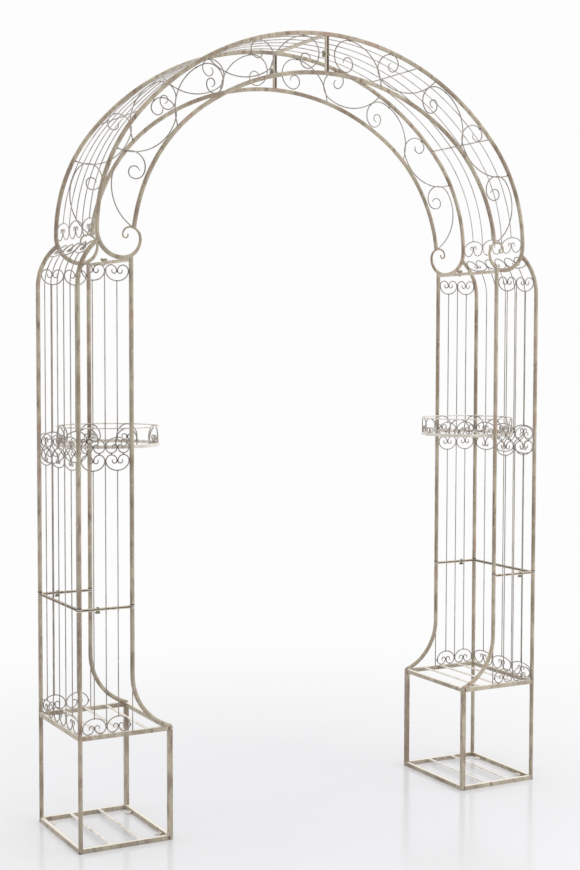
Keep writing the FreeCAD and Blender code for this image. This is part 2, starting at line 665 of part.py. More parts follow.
def outer_point(turn, depth=0):
    """Point of the outer tube where it has turned by some degrees, or below it; crown at 0."""
    angle = math.radians(turn)
    if turn <= turn_at_knee:
        centre, radius = (0, -crown_r), crown_r
    else:
        centre, radius = (number("Sizes.shoulder_in"), -number(ARCH_RISE)), shoulder_r
    return (centre[0] + (radius - depth) * math.sin(angle),
            centre[1] + (radius - depth) * math.cos(angle))


scroll_wires = []
for turn, depth, heading, arcs in SCROLLS:
    start = outer_point(turn, depth * arch_gap)
    chain = [(share * arch_gap, bend) for share, bend in arcs]
    points = walk(*start, heading - turn, chain, SCROLL_STEP)
    scroll_wires.append(ribbon(points, number("Sizes.scroll_w")))
scroll_plan = at(shaped("ScrollWires", fused(scroll_wires)), "0", FRONT_Y, CROWN_Z)
scrolls = cut("Scrollwork", scroll_plan, [arch_tube, curl_tube, coil_tube, inner_tube])
front_and_back(scrolls, "arch_%s_scrollwork")

# Roof lattice: wires along the outer tube's line, from the cross tubes to a row of rings;
# rods part each side in three

ROOF_WIRES = 5
CROWN_ROD = 24.2
SHOULDER_ROD = 48.5
ROOF_STEP = 6


def outer_points(start, end):
    """Points along the outer tube's line between two turns."""
    count = max(1, math.ceil((end - start) / ROOF_STEP))
    return [outer_point(start + (end - start) * i / count) for i in range(count + 1)]


def roof_wire(name, index, start, end):
    wire = shaped(f"{name}Wire{index}", ribbon(outer_points(start, end), number("Sizes.wire_w")))
    return at(wire, "0", f"{SIDE_START} + {SIDE_PITCH} * {index + 1} / 2", CROWN_Z)


def roof_rod(name, turn):
    x, z = outer_point(turn)
    return round_along_y(name, repr(x), f"{CROWN_Z} + {z!r}", "Sizes.roof_rod_d")


EAVE_Z = "(Sizes.spring_z - Sizes.eave_drop)"
arch_pair = [outer_tube, mirrored(outer_tube, THROUGH)]
crown_rod = roof_rod("CrownRod", CROWN_ROD)
shoulder_rod = roof_rod("ShoulderRod", SHOULDER_ROD)
eave_row = at(shaped("EaveRow", heart_row(number(SIDE_PITCH), side_face.count,
                                          number("Sizes.roof_ring_h"), False),
                     Rotation(Vector(0, 0, 1), 90)), ARCH_X, SIDE_START, EAVE_Z)


def eave_turn(index):
    """Where an eave wire ends: on a bowl, or where two rings touch."""
    height = number("Sizes.roof_ring_h") - number("Sizes.eave_drop")
    drop = number("Sizes.roof_ring_h") - number(SIDE_PITCH) / 4 if index % 2 else 1
    return 90 - math.degrees(math.asin((height - drop) / shoulder_r))


cross_turn = math.degrees(math.asin(number(CROSS_X) / crown_r))
for name, start, end, tools, extra in (
        ("crown", cross_turn, CROWN_ROD, [cross_tube], [crown_rod]),
        ("slope", CROWN_ROD, SHOULDER_ROD, [crown_rod], [shoulder_rod]),
        ("eave", SHOULDER_ROD, None, [shoulder_rod], [eave_row])):
    wires = [roof_wire(name, i, start, end or eave_turn(i)) for i in range(ROOF_WIRES)]
    lattice = fuse(name + "Wires", wires + extra)
    on_both_sides(cut(name + "Roof", lattice, tools + arch_pair), "roof_%s_lattice" % name)

doc.recompute()

for item in doc.Objects:
    bad = {"Invalid", "Error"} & set(item.State)
    if bad:
        raise RuntimeError("%s is not sound: %s" % (item.Name, item.State))
for item in nodes:
    if item.Shape.isNull() or not item.Shape.isValid() or not item.Shape.Solids:
        raise RuntimeError("piece %s has no sound shape" % item.Label)

os.makedirs("parts", exist_ok=True)
for item in nodes:
    item.Shape.exportStep("parts/%s.step" % item.Label)
print(len(nodes), "pieces written")
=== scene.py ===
# %% [markdown]
# A garden rose arch of bent steel tube and wire. The imported model gives the frame that every
# piece is made in: metres, Z up, X across the passage, Y through it, the ground at zero. It
# is loaded first, and its box is kept. What is made here has to stay in that box.

import bpy
import numpy as np
from mathutils import Matrix


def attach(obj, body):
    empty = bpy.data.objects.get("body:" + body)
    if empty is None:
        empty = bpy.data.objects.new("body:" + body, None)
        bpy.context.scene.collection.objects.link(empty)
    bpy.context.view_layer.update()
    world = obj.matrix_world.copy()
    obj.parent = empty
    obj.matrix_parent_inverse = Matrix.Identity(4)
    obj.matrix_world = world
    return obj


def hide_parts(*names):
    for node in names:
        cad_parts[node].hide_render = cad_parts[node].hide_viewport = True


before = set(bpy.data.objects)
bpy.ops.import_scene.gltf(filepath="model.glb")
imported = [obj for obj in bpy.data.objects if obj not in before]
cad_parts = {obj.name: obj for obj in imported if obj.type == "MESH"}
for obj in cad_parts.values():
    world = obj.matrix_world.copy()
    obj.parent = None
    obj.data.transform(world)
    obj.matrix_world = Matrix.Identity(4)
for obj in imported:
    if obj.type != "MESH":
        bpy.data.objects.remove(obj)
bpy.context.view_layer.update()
print("nodes:", len(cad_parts))

# %% [markdown]
# The arch repeats a few real sizes everywhere, so they are named once, in millimetres, and
# the rest is worked out from them. The right front quarter is drawn, and numpy mirrors it.

# %% Real sizes of the towers, in millimetres
POST_X = 800.0  # outer posts, from the middle of the passage
INNER_X = 639.0  # inner posts
LEG_X = 522.0  # the base's inner legs
HALF_D = 168.0  # front and back faces, from the middle
TUBE_R = 6.5  # posts and arch tubes
RAIL = 13.0  # square tube of the base frames
BASE_TOP = 338.0  # top of the base box
CURVE_Z = 500.0  # head of the inner posts' sweep
JOINT_Z = 699.0  # where the towers' halves meet
MID_Z = 1141.0  # between the two middle rows of rings
TOP_BAR_T = 4.5  # thickness of each top bar
TOP_ROW_DROP = 63.5  # foot of the top row of rings, below the top bars
LEAN_R = 158.0  # bend of the outer posts' heads
LEAN_DROP = 27.0  # where the heads meet the arch, below its spring

# %% Real sizes of the arch
SPRING_Z = 1775.0  # where the arch springs
ARCH_X = 742.0  # the outer tube's line there
SHOULDER_IN = 242.0  # centre of the shoulder's arc, from the middle
ARCH_FLAT = 127.0  # how much less the arch rises than a half circle
ARCH_GAP = 117.0  # from the outer tube to the inner one
HEEL_R = 77.0  # first quarter turn of the end scroll
TOE_R = 55.0  # second quarter turn
EAVE_DROP = 17.0  # foot of the eaves' rings, below the spring
EAVE_RING_H = 54.0  # height of the eaves' rings

# %% Real sizes of wires, flat bars and pot holders
RING_H = 49.0  # height of a heart ring
RING_R = 1.8  # radius of its wire
WIRE_R = 1.6  # upright wires and roof wires
ROD_R = 2.0  # rods across under the roof's wires
SCROLL_R = 1.8  # scrollwork
BAR = 4.0  # each flat bar at the joint, with its half of the seam
BAR_W = 7.0  # their width
SEAM = 2.6  # gap between them, filled with a dark strip of painted shade
POT_R = 152.5  # outside of the pot holder
POT_TOP = 1214.0  # its top
POT_H = 60.0  # its height
HOOP_R = 2.0  # wire of its upper hoop
BAND_H = 10.0  # height of its flat lower hoop
BAND_R = 1.3  # half its thickness

# %% Places worked out from the sizes
SHOULDER_R = ARCH_X - SHOULDER_IN
ARCH_RISE = ARCH_X - ARCH_FLAT
CROWN_Z = SPRING_Z + ARCH_RISE
TURN = 2 * np.degrees(np.arctan2(SHOULDER_IN - ARCH_FLAT, SHOULDER_IN))
CROWN_R = SHOULDER_R + SHOULDER_IN / np.sin(np.radians(TURN))
HEEL_X = ARCH_X - HEEL_R
TOE_Z = SPRING_Z - HEEL_R + TOE_R
INNER_TOP = TOE_Z - np.sqrt(TOE_R ** 2 - (HEEL_X - INNER_X) ** 2)
BARS_Z = INNER_TOP - TUBE_R - TOP_BAR_T
TOP_ROW_Z = BARS_Z - TOP_ROW_DROP
LEAN_X = POST_X - LEAN_R
MEET_X = HEEL_X + np.sqrt(HEEL_R ** 2 - LEAN_DROP ** 2)
LEAN_TURN = np.degrees(np.arccos((MEET_X - LEAN_X) / LEAN_R))
BEND_Z = SPRING_Z - LEAN_DROP - LEAN_R * np.sin(np.radians(LEAN_TURN))
POT_X = POST_X - RING_R - POT_R
print("crown radius %.0f, turn %.1f, lean %.1f" % (CROWN_R, TURN, LEAN_TURN))

# %% [markdown]
# All of the arch is round wire and tube bent in flat curves. A curve is a chain of tangent
# arcs, as a bender makes it: each arc has a radius and a turn, and starts in the direction in
# which the last one ended. Numpy lays the points of each arc in one array.

# %% Flat curves
POINT_STEP = 3.0
STRAIGHT_STEP = 60.0


def arcs(start, heading, chain, step=POINT_STEP):
    """Points of tangent arcs (radius r, turn in degrees): p = c - s r (-sin t, cos t), where
    t is the direction, s the turn's sign and c = start + s r (-sin t0, cos t0)."""
    runs = [np.array([start], float)]
    for radius, turn in chain:
        hand = np.sign(turn)
        here = runs[-1][-1]
        first = np.radians(heading)
        centre = here + hand * radius * np.array([-np.sin(first), np.cos(first)])
        count = max(3, int(np.ceil(np.radians(abs(turn)) * radius / step)))
        angles = first + np.radians(turn) * np.arange(1, count + 1) / count
        runs.append(centre - hand * radius * np.stack([-np.sin(angles), np.cos(angles)], 1))
        heading += turn
    return np.concatenate(runs)


def straight(start, end, step=STRAIGHT_STEP):
    """Evenly spaced points: start + (end - start) t, with t from 0 to 1."""
    start, end = np.array(start, float), np.array(end, float)
    count = max(2, int(np.linalg.norm(end - start) / step) + 1)
    return start + (end - start) * np.linspace(0, 1, count)[:, None]


def upright_plane(points, y=0.0, x=0.0, side_on=False):
    """Flat points (a, z) stood up: (x + a, y, z) in a front plane, (x, a, z) side on."""
    a, z = points[:, 0], points[:, 1]
    if side_on:
        return np.stack([np.full_like(a, x), a, z], 1)
    return np.stack([a + x, np.full_like(a, y), z], 1)


# %% [markdown]
# A tube is a circle carried along such a curve. At each point the circle stands across the
# path: one direction is given, such as the flat curve's own normal, and the other is the
# cross product of the path with it. Caps close both ends, so the piece is a closed solid.

# %% Tubes, wires and flat bars
WIRE_SIDES = 8
BAR_EDGE = 0.6


def carried(path, profile, normal, closed=False):
    """Surface p(i, j) = path(i) + a(i, j) normal + b(i, j) side, where (a, b) is the profile
    at the path's point i."""
    path = np.asarray(path, float)
    count = len(path)
    if closed:
        along = np.roll(path, -1, 0) - np.roll(path, 1, 0)
    else:
        along = np.gradient(path, axis=0)
    along /= np.linalg.norm(along, axis=1)[:, None]
    normal = np.broadcast_to(np.asarray(normal, float), path.shape)
    across = np.cross(along, normal)
    across /= np.linalg.norm(across, axis=1)[:, None]
    out = np.cross(across, along)
    sides = profile.shape[-2]
    profile = np.broadcast_to(profile, (count, sides, 2))
    ring = profile[..., :1] * out[:, None] + profile[..., 1:] * across[:, None]
    verts = (path[:, None] + ring).reshape(-1, 3)
    i = np.arange(count if closed else count - 1)[:, None] * sides
    j = np.arange(sides)[None, :]
    k = (j + 1) % sides
    up = (i + sides) % (count * sides)
    faces = np.stack([i + j, i + k, up + k, up + j], -1).reshape(-1, 4)
    caps = []
    if not closed:
        caps = [list(range(sides))[::-1], list(range((count - 1) * sides, count * sides))]
    return verts, faces.tolist() + caps


def tube(path, radius, normal, sides=10, closed=False, squash=1.0):
    """Round section: (a, b) = radius (cos t, squash sin t)."""
    t = 2 * np.pi * np.arange(sides) / sides
    radius = np.broadcast_to(np.asarray(radius, float), (len(path),))[:, None, None]
    profile = radius * np.stack([np.cos(t), squash * np.sin(t)], 1)
    return carried(path, profile, normal, closed)


def flat_bar(path, width, thick, normal, edge=BAR_EDGE):
    """Flat section, an octagon: (a, b) = (+-width / 2, +-thick / 2) with the corners cut by
    edge; the width lies along the normal."""
    a, b = width / 2, thick / 2
    corners = np.array([(a, b - edge), (a - edge, b), (edge - a, b), (-a, b - edge),
                        (-a, edge - b), (edge - a, -b), (a - edge, -b), (a, edge - b)])
    return carried(path, corners, normal)


def bead(centre, size, steps=8):
    """Ellipsoid: centre + size (cos la cos lo, cos la sin lo, sin la) on a grid of latitude
    la and longitude lo, with a point at each pole."""
    rows = steps // 2
    lat = np.pi * (np.arange(1, rows + 1) / (rows + 1) - 0.5)
    lon = 2 * np.pi * np.arange(steps) / steps
    la, lo = np.meshgrid(lat, lon, indexing="ij")
    grid = np.stack([np.cos(la) * np.cos(lo), np.cos(la) * np.sin(lo), np.sin(la)], -1)
    ball = np.concatenate([grid.reshape(-1, 3), [[0, 0, -1], [0, 0, 1]]])
    i = np.arange(rows - 1)[:, None] * steps
    j = np.arange(steps)[None, :]
    k = (j + 1) % steps
    faces = np.stack([i + j, i + k, i + steps + k, i + steps + j], -1).reshape(-1, 4).tolist()
    low_pole, high_pole = rows * steps, rows * steps + 1
    last = (rows - 1) * steps
    pairs = [(a, (a + 1) % steps) for a in range(steps)]
    faces += [[low_pole, b, a] for a, b in pairs]
    faces += [[high_pole, last + a, last + b] for a, b in pairs]
    return np.asarray(centre, float) + ball * np.asarray(size, float), faces


def flipped(mesh, axis):
    """Mirror image: one coordinate changes sign, and the faces are turned to face out."""
    verts, faces = mesh
    sign = np.ones(3)
    sign[axis] = -1
    return verts * sign, [face[::-1] for face in faces]


# %% Make one piece from many tubes
MM = 1000


def piece(name, meshes, material, nodes, smooth=True):
    """Joins meshes given in millimetres into one object in metres, in place of its nodes."""
    verts = np.concatenate([mesh[0] for mesh in meshes]) / MM
    faces, first = [], 0
    for own_verts, own_faces in meshes:
        faces += [[int(v) + first for v in face] for face in own_faces]
        first += len(own_verts)
    mesh = bpy.data.meshes.new(name)
    mesh.from_pydata(verts, [], faces)
    mesh.polygons.foreach_set("use_smooth", np.full(len(mesh.polygons), smooth))
    mesh.materials.append(material)
    mesh.validate()
    mesh.update()
    item = bpy.data.objects.new(name, mesh)
    bpy.context.collection.objects.link(item)
    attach(item, "root")
    if nodes:
        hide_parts(*nodes)
    print(name, len(mesh.polygons), "faces")


def sided(name, meshes, material, nodes, smooth=True):
    """The right piece and its mirror image on the left; nodes are named without the side."""
    for hand in ("right", "left"):
        own = meshes if hand == "right" else [flipped(mesh, 0) for mesh in meshes]
        own_nodes = ["%s_%s" % (hand, node) for node in nodes]
        piece("%s_%s" % (hand, name), own, material, own_nodes, smooth)


# %% [markdown]
# The finish is antique cream enamel, sprayed and then glazed with brown and wiped along the
# tube, so its colour wanders between sage cream, taupe and rose brown. Noise at three sizes
# drives it: 110 mm drifts, streaks 16 mm wide and four times as long, and 3 mm rubbed specks.
# The wires are too thin to show streaks, and carry more of the brown glaze; at the welds the
# dark scale shows through.

# %% Node helpers and colours
def linear(code):
    """An sRGB hex colour as linear RGBA: the low end is a slope, the rest a 2.4 power."""
    srgb = np.array([int(code[i:i + 2], 16) for i in (1, 3, 5)]) / 255
    value = np.where(srgb <= 0.04045, srgb / 12.92, ((srgb + 0.055) / 1.055) ** 2.4)
    return (*value.tolist(), 1.0)


def empty_tree(owner):
    """The cleared node tree of a material or a world."""
    owner.use_nodes = True
    owner.node_tree.nodes.clear()
    return owner.node_tree


def node(tree, kind, settings=None, **links):
    """Adds a node with its settings. Each input, named or numbered as i0, i1 and so on, gets
    a link if its value is another node's output, or else the value."""
    item = tree.nodes.new(kind)
    for key, value in (settings or {}).items():
        setattr(item, key, value)
    for key, value in links.items():
        numbered = key[0] == "i" and key[1:].isdigit()
        socket = item.inputs[int(key[1:]) if numbered else key.replace("_", " ")]
        if isinstance(value, bpy.types.NodeSocket):
            tree.links.new(value, socket)
        else:
            socket.default_value = value
    return item


def ramp(tree, factor, stops):
    """Colour ramp with a stop for each (place, hex colour)."""
    item = node(tree, "ShaderNodeValToRGB", i0=factor)
    elements = item.color_ramp.elements
    while len(elements) < len(stops):
        elements.new(0.5)
    for element, (place, code) in zip(elements, stops):
        element.position = place
        element.color = linear(code)
    return item.outputs["Color"]


def noise(tree, place, size_mm, detail):
    """Noise whose features are about the given size; Object coordinates are metres."""
    item = node(tree, "ShaderNodeTexNoise", i0=place)
    item.inputs["Scale"].default_value = MM / size_mm
    item.inputs["Detail"].default_value = detail
    return item.outputs["Fac"]


def blend(tree, factor, first, second):
    """Colour first (1 - factor) + second factor."""
    item = node(tree, "ShaderNodeMix", {"data_type": "RGBA"}, i0=factor, i6=first, i7=second)
    return item.outputs[2]


def remap(tree, value, low, high, to_low=0.0, to_high=1.0, kind="LINEAR"):
    """The value's range from low to high, laid on the range from to_low to to_high."""
    item = node(tree, "ShaderNodeMapRange", {"interpolation_type": kind}, Value=value,
                From_Min=low, From_Max=high, To_Min=to_low, To_Max=to_high)
    return item.outputs[0]


# %% Rubbed enamel
# Size in millimetres and detail of each noise
DRIFT, STREAKS, RUBS, GRAIN = (110, 2.0), (16, 4.0), (3, 3.0), (2, 4.0)
STREAK_SCALE = (1, 1, 0.25)  # makes the streaks four times as long along Z
STREAK_STOPS = ((0.50, "#000000"), (0.72, "#ffffff"))
RUB_STOPS = ((0.60, "#000000"), (0.74, "#ffffff"))
UP_FROM, UP_TO = 0.7, 0.95  # upward part of the normal where the painted top highlight begins, and is full
# Painted highlight: the cream that faces pointing up are lightened towards, for light from above
TOP_HIGHLIGHT_CREAM = "#ece6d9"
DULLER, GLOSSIER = 0.12, 0.08  # how far the grain moves the roughness
BUMP, BUMP_DEPTH = 0.25, 0.0002
PAINT_IOR = 1.5


def rubbed_enamel(name, drift, streak, rub, roughness, top_highlight_share=0.0):
    """Wiped glaze over enamel. drift is a ramp of hex colours, streak the glaze left in the
    wiping's direction and rub the enamel that shows where the glaze is rubbed away. The last
    argument is how far faces that point up are lightened to cream: a painted top highlight."""
    material = bpy.data.materials.new(name)
    tree = empty_tree(material)
    place = node(tree, "ShaderNodeTexCoord").outputs["Object"]
    wiped = node(tree, "ShaderNodeMapping", Vector=place, Scale=STREAK_SCALE).outputs[0]
    base = ramp(tree, noise(tree, place, *DRIFT), drift)
    left = ramp(tree, noise(tree, wiped, *STREAKS), STREAK_STOPS)
    glazed = blend(tree, left, base, linear(streak))
    worn = ramp(tree, noise(tree, wiped, *RUBS), RUB_STOPS)
    rubbed = blend(tree, worn, glazed, linear(rub))
    normal = node(tree, "ShaderNodeNewGeometry").outputs["Normal"]
    up = node(tree, "ShaderNodeSeparateXYZ", i0=normal).outputs["Z"]
    # Painted highlight: faces that point up are lightened towards cream, as light from above shows
    # them
    top = remap(tree, up, UP_FROM, UP_TO, 0.0, top_highlight_share)
    top_highlighted = blend(tree, top, rubbed, linear(TOP_HIGHLIGHT_CREAM))
    grain = noise(tree, place, *GRAIN)
    sheen = remap(tree, grain, 0.0, 1.0, roughness - GLOSSIER, roughness + DULLER)
    bump = node(tree, "ShaderNodeBump", Height=grain, Strength=BUMP, Distance=BUMP_DEPTH)
    shader = node(tree, "ShaderNodeBsdfPrincipled", Base_Color=top_highlighted, Roughness=sheen,
                  Normal=bump.outputs[0], IOR=PAINT_IOR)
    node(tree, "ShaderNodeOutputMaterial", Surface=shader.outputs[0])
    return material


# %% The finishes
# Satin enamel on posts, arch tubes and welded corners: soft bright edges along every tube.
enamel = rubbed_enamel(
    "antique_cream_enamel",
    ((0.34, "#928170"), (0.46, "#a59a87"), (0.57, "#b6ac98"), (0.70, "#a99282")),
    "#7b6a5b", "#dcd3be", 0.34)
# The same enamel on the base rails, their tops lightened almost to cream: a painted highlight.
rail_enamel = rubbed_enamel(
    "rail_enamel_with_painted_top_highlight",
    ((0.34, "#988776"), (0.46, "#aca28f"), (0.57, "#bcb29f"), (0.70, "#af9988")),
    "#816f60", "#dfd7c4", 0.34, top_highlight_share=0.85)
# The same enamel with more cream left on it, on flat bars and cross tubes: lighter lines. On
# the crown's left upright it is a painted highlight, the lit one of the pair.
pale_enamel = rubbed_enamel(
    "pale_cream_enamel",
    ((0.36, "#c2b7a5"), (0.50, "#d0c6b5"), (0.64, "#c8b9a8")),
    "#a3927d", "#e4dccb", 0.38)
# Bare cream enamel, hardly glazed, on pot hoops, collars and peg rings: the palest. On the
# slats the same paleness is a painted highlight, for the light on their tops.
cream_enamel = rubbed_enamel(
    "cream_enamel_and_slat_highlight",
    ((0.36, "#d9d2c7"), (0.50, "#e5dfd6"), (0.64, "#ddd6cc")),
    "#b4aa9c", "#f0ece5", 0.36)
# Brown glaze over thin wire: darker than the tubes, with little cream.
glaze = rubbed_enamel(
    "brown_glazed_wire",
    ((0.36, "#8d847d"), (0.50, "#a0978f"), (0.64, "#aea59c")),
    "#6d635c", "#c6beb4", 0.42)
# The roof's wires: greyer and paler than the tower's.
pale_roof_glaze = rubbed_enamel(
    "pale_roof_wire",
    ((0.36, "#a19993"), (0.50, "#b2aba4"), (0.64, "#beb7b0")),
    "#857c75", "#d0c9c0", 0.44)
# Scale burnt on by welding, painted shade filling the joint's seam, and the dark rings at the
# posts' feet: nearly black and dull.
weld_scale_and_shade = rubbed_enamel(
    "weld_scale_and_shade", ((0.4, "#40362f"), (0.6, "#574b43")),
    "#2e2723", "#74685c", 0.6)
# Painted bolts and wing nuts, with sage enamel chipped at the edges: small greenish knots.
bolt_paint = rubbed_enamel(
    "painted_bolt", ((0.4, "#7b7763"), (0.6, "#938e76")),
    "#565041", "#b9b297", 0.4)
# Painted shade on the crown's right upright, the shaded one of the pair: brown and a little dull.
shaded_upright_paint = rubbed_enamel(
    "upright_painted_shade_brown", ((0.4, "#5d5145"), (0.6, "#75685a")),
    "#463c33", "#998c7a", 0.4)
finishes = (enamel, rail_enamel, pale_enamel, cream_enamel, glaze, pale_roof_glaze, weld_scale_and_shade,
            bolt_paint, shaded_upright_paint)
print("materials:", [finish.name for finish in finishes])

# %% [markdown]
# Heart rings fill the rows of the tower's lattice. Each is one bent wire: half an ellipse for
# the bowl, a half circle over each side of it, and both ends, welded where they meet, curl
# back outwards into the lobes like a ram's horns.

# %% Heart rings
CURL_R = 7.2  # first curl of an end
SECOND_CURL = 0.55  # the second curl's radius, as a share of the first's
ENDS_APART = 0.9  # half the gap between the two ends, in wire radii
BOWL_POINTS = 18
CURL_STEP = 1.8
TAPER = 9.0  # length of the thinned ends
TIP = 0.55  # the wire's radius at its tip, as a share of the full one
END_WELD = (2.6, 2.6, 4.2)  # half sizes of the bead where the two ends meet
END_WELD_DROP = 1  # its middle, below the height at which the lobes begin


def heart(length, height, lobes_up=True, curl=CURL_R):
    """Flat path of one heart ring with its foot at (0, 0): a quarter ellipse
    (half sin t, bowl (1 - cos t)), a half-circle lobe and a smaller half circle."""
    half = length / 2 - RING_R
    lobe = (half - RING_R * ENDS_APART) / 2
    bowl = height - 2 * RING_R - half / 2
    t = np.linspace(0, np.pi / 2, BOWL_POINTS)
    flank = np.stack([half * np.sin(t), bowl * (1 - np.cos(t))], 1)
    bends = ((lobe, 180), (curl, 190), (curl * SECOND_CURL, 60))
    horn = arcs(flank[-1], 90, bends, CURL_STEP)
    right = np.concatenate([flank, horn[1:]])
    path = np.concatenate([right[:0:-1] * [-1, 1], right])
    if not lobes_up:
        path[:, 1] = height - 2 * RING_R - path[:, 1]
    return path + [0, RING_R]


def tapered(path):
    """Radius of a ring's wire: RING_R (tip + (1 - tip) s / taper) at s from the nearer end,
    up to the full radius."""
    step = np.linalg.norm(np.diff(path, axis=0), axis=1)
    run = np.concatenate([[0], np.cumsum(step)])
    edge = np.minimum(run, run[-1] - run) / TAPER
    return RING_R * np.clip(TIP + (1 - TIP) * edge, TIP, 1)


def heart_wires(length, height, lobes_up, place, normal):
    """One ring as a tube, with the dark weld where its ends meet; place stands it up."""
    path = heart(length, height, lobes_up)
    rise = height - length / 4 - END_WELD_DROP
    weld_z = rise if lobes_up else height - rise
    return (tube(place(path), tapered(path), normal, WIRE_SIDES),
            bead(place(np.array([[0.0, weld_z]]))[0], END_WELD))


# %% [markdown]
# Each lattice face repeats one scheme: a row of rings on the base frame, wires up to the
# joint's two level bars with painted shade in the seam between them, wires on to two rows set
# back to back, and wires to the row at the top. Wires stand at the ring centres and between
# the rings. The outer side is the same with wider rings, and its wires and top row follow the
# leaning posts.

# %% One lattice face
FRONT_RINGS, SIDE_RINGS = 2, 3
FRONT_PITCH = (POST_X - INNER_X - 2 * TUBE_R) / FRONT_RINGS
SIDE_PITCH = (2 * HALF_D - 2 * TUBE_R) / SIDE_RINGS
SUNK = 1.5  # how deep a wire ends in the ring that it stands on
BAR_SUNK = 2.0  # how deep a flat bar ends in its posts
SEAM_IN = 0.5  # how far the seam lies behind the bars' edges
SEAM_OVER = 0.1  # how far it reaches into each bar
SEAM_EDGE = 0.2
# Half sizes of the beads of weld
TOUCH_WELD = (2.3, 2.3, 4.0)  # between two rings of a row
WIRE_WELD = (2.1, 2.1, 2.6)  # where a wire stands on a ring
BACK_WELD = (2.4, 2.4, 2.6)  # between the two middle rows


def past_foot(i, pitch, height=RING_H):
    """How far wire i runs past the rings' feet: each second one stands between two rings and
    goes on to where they touch."""
    return height - pitch / 4 if i % 2 else SUNK


class Face:
    """A side of the tower: where its rings start, their pitch and number, and its plane."""

    def __init__(self, start, pitch, count, place, normal):
        self.start, self.pitch, self.count = start, pitch, count
        self.place, self.normal = place, normal
        self.wires, self.welds, self.bars = [], [], []

    def across(self, i):
        """Place of wire i along the face: start + pitch (i + 1) / 2."""
        return self.start + self.pitch * (i + 1) / 2

    def weld(self, a, z, size):
        """Bead of weld at a flat point (a, z) of the face."""
        self.welds.append(bead(self.place(np.array([[a, z]]))[0], size))

    def row(self, z, lobes_up, pitch=None, height=RING_H):
        """Rings side by side with their foot at z, and a bead where two touch."""
        pitch = pitch or self.pitch
        touch = z + (height - pitch / 4 if lobes_up else pitch / 4)
        for i in range(self.count):
            a = self.start + pitch * (i + 0.5)
            ring, weld = heart_wires(pitch, height, lobes_up,
                                     lambda p, a=a: self.place(p + [a, z]), self.normal)
            self.wires.append(ring)
            self.welds.append(weld)
        for i in range(self.count + 1):
            self.weld(self.start + pitch * i, touch, TOUCH_WELD)

    def wire(self, low, high):
        """Straight wire between two flat points (a, z)."""
        line = self.place(straight(low, high))
        self.wires.append(tube(line, WIRE_R, self.normal, WIRE_SIDES))

    def rods(self, low, high, low_rings, high_rings):
        """Wires between two heights; those between rings reach past the bowls."""
        for i in range(2 * self.count - 1):
            a = self.across(i)
            past = past_foot(i, self.pitch)
            z0 = low - (past if low_rings else 0)
            z1 = high + (past if high_rings else 0)
            self.wire((a, z0), (a, z1))
            for z, rings in ((z0, low_rings), (z1, high_rings)):
                if rings and not i % 2:
                    self.weld(a, z, WIRE_WELD)

    def level(self, low, high, width, edge=BAR_EDGE):
        """Flat bar from post to post between two heights."""
        z = (low + high) / 2
        end = self.start + self.pitch * self.count + BAR_SUNK
        line = self.place(straight((self.start - BAR_SUNK, z), (end, z)))
        return flat_bar(line, width, high - low, self.normal, edge)

    def parts(self):
        """Hands over what was made so far, and starts again with empty lists."""
        made = self.wires, self.welds, self.bars
        self.wires, self.welds, self.bars = [], [], []
        return made


front = Face(INNER_X + TUBE_R, FRONT_PITCH, FRONT_RINGS,
             lambda p: upright_plane(p, y=-HALF_D), (0, 1, 0))
side = Face(-HALF_D + TUBE_R, SIDE_PITCH, SIDE_RINGS,
            lambda p: upright_plane(p, x=POST_X, side_on=True), (1, 0, 0))


def lower_part(face):
    """A row of rings, the wires up to the joint, its lower bar and painted shade in the seam."""
    face.row(BASE_TOP, False)
    face.rods(BASE_TOP + RING_H, JOINT_Z - BAR / 2, True, False)
    face.bars.append(face.level(JOINT_Z - BAR, JOINT_Z - SEAM / 2, BAR_W))
    reach = SEAM / 2 + SEAM_OVER
    # A near-black strip fills the seam between the two bars: painted shade.
    face.welds.append(face.level(JOINT_Z - reach, JOINT_Z + reach, BAR_W - 2 * SEAM_IN, SEAM_EDGE))


def middle_part(face):
    """The joint's upper bar, wires, and two rows of rings back to back with their beads."""
    face.bars.append(face.level(JOINT_Z + SEAM / 2, JOINT_Z + BAR, BAR_W))
    face.rods(JOINT_Z + BAR / 2, MID_Z - RING_H, False, True)
    face.row(MID_Z - RING_H, True)
    face.row(MID_Z, False)
    for i in range(face.count):
        for share in (0.25, 0.75):
            face.weld(face.start + face.pitch * (i + share), MID_Z, BACK_WELD)


def add_panel(name, parts, node_name, back=False, bar_finish=pale_enamel):
    """A panel's wires, and its welds and flat bar as pieces of their own."""
    if back:
        parts = [[flipped(mesh, 1) for mesh in meshes] for meshes in parts]
    wires, welds, bars = parts
    sided(name, wires, glaze, [node_name])
    sided(name + "_welds", welds, weld_scale_and_shade, [])
    sided(name + "_bar", bars, bar_finish, [], smooth=False)


# %% Lower panels
SWEEP_R = ((INNER_X - LEG_X) ** 2 + (CURVE_Z - BASE_TOP) ** 2) / (2 * (INNER_X - LEG_X))
lower_part(front)
# One more wire goes on straight down where the inner post sweeps away.
front.wire((INNER_X, BASE_TOP), (INNER_X, CURVE_Z - np.sqrt(2 * SWEEP_R * TUBE_R)))
front_lower = front.parts()
add_panel("lower_front_lattice", front_lower, "lower_front_panel")
add_panel("lower_back_lattice", front_lower, "lower_back_panel", back=True)
lower_part(side)
add_panel("lower_side_lattice", side.parts(), "lower_side_panel", bar_finish=enamel)

# %% Upper front and back panels
# Their top row is narrower, because the outer post already leans in there.
lean_rise = TOP_ROW_Z + RING_H / 2 - BEND_Z
lean_shift = LEAN_R - np.sqrt(LEAN_R ** 2 - lean_rise ** 2)
middle_part(front)
front.rods(MID_Z + RING_H, TOP_ROW_Z, True, True)
front.row(TOP_ROW_Z, True, FRONT_PITCH - lean_shift / FRONT_RINGS)
front_upper = front.parts()
add_panel("upper_front_lattice", front_upper, "upper_front_panel")
add_panel("upper_back_lattice", front_upper, "upper_back_panel", back=True)

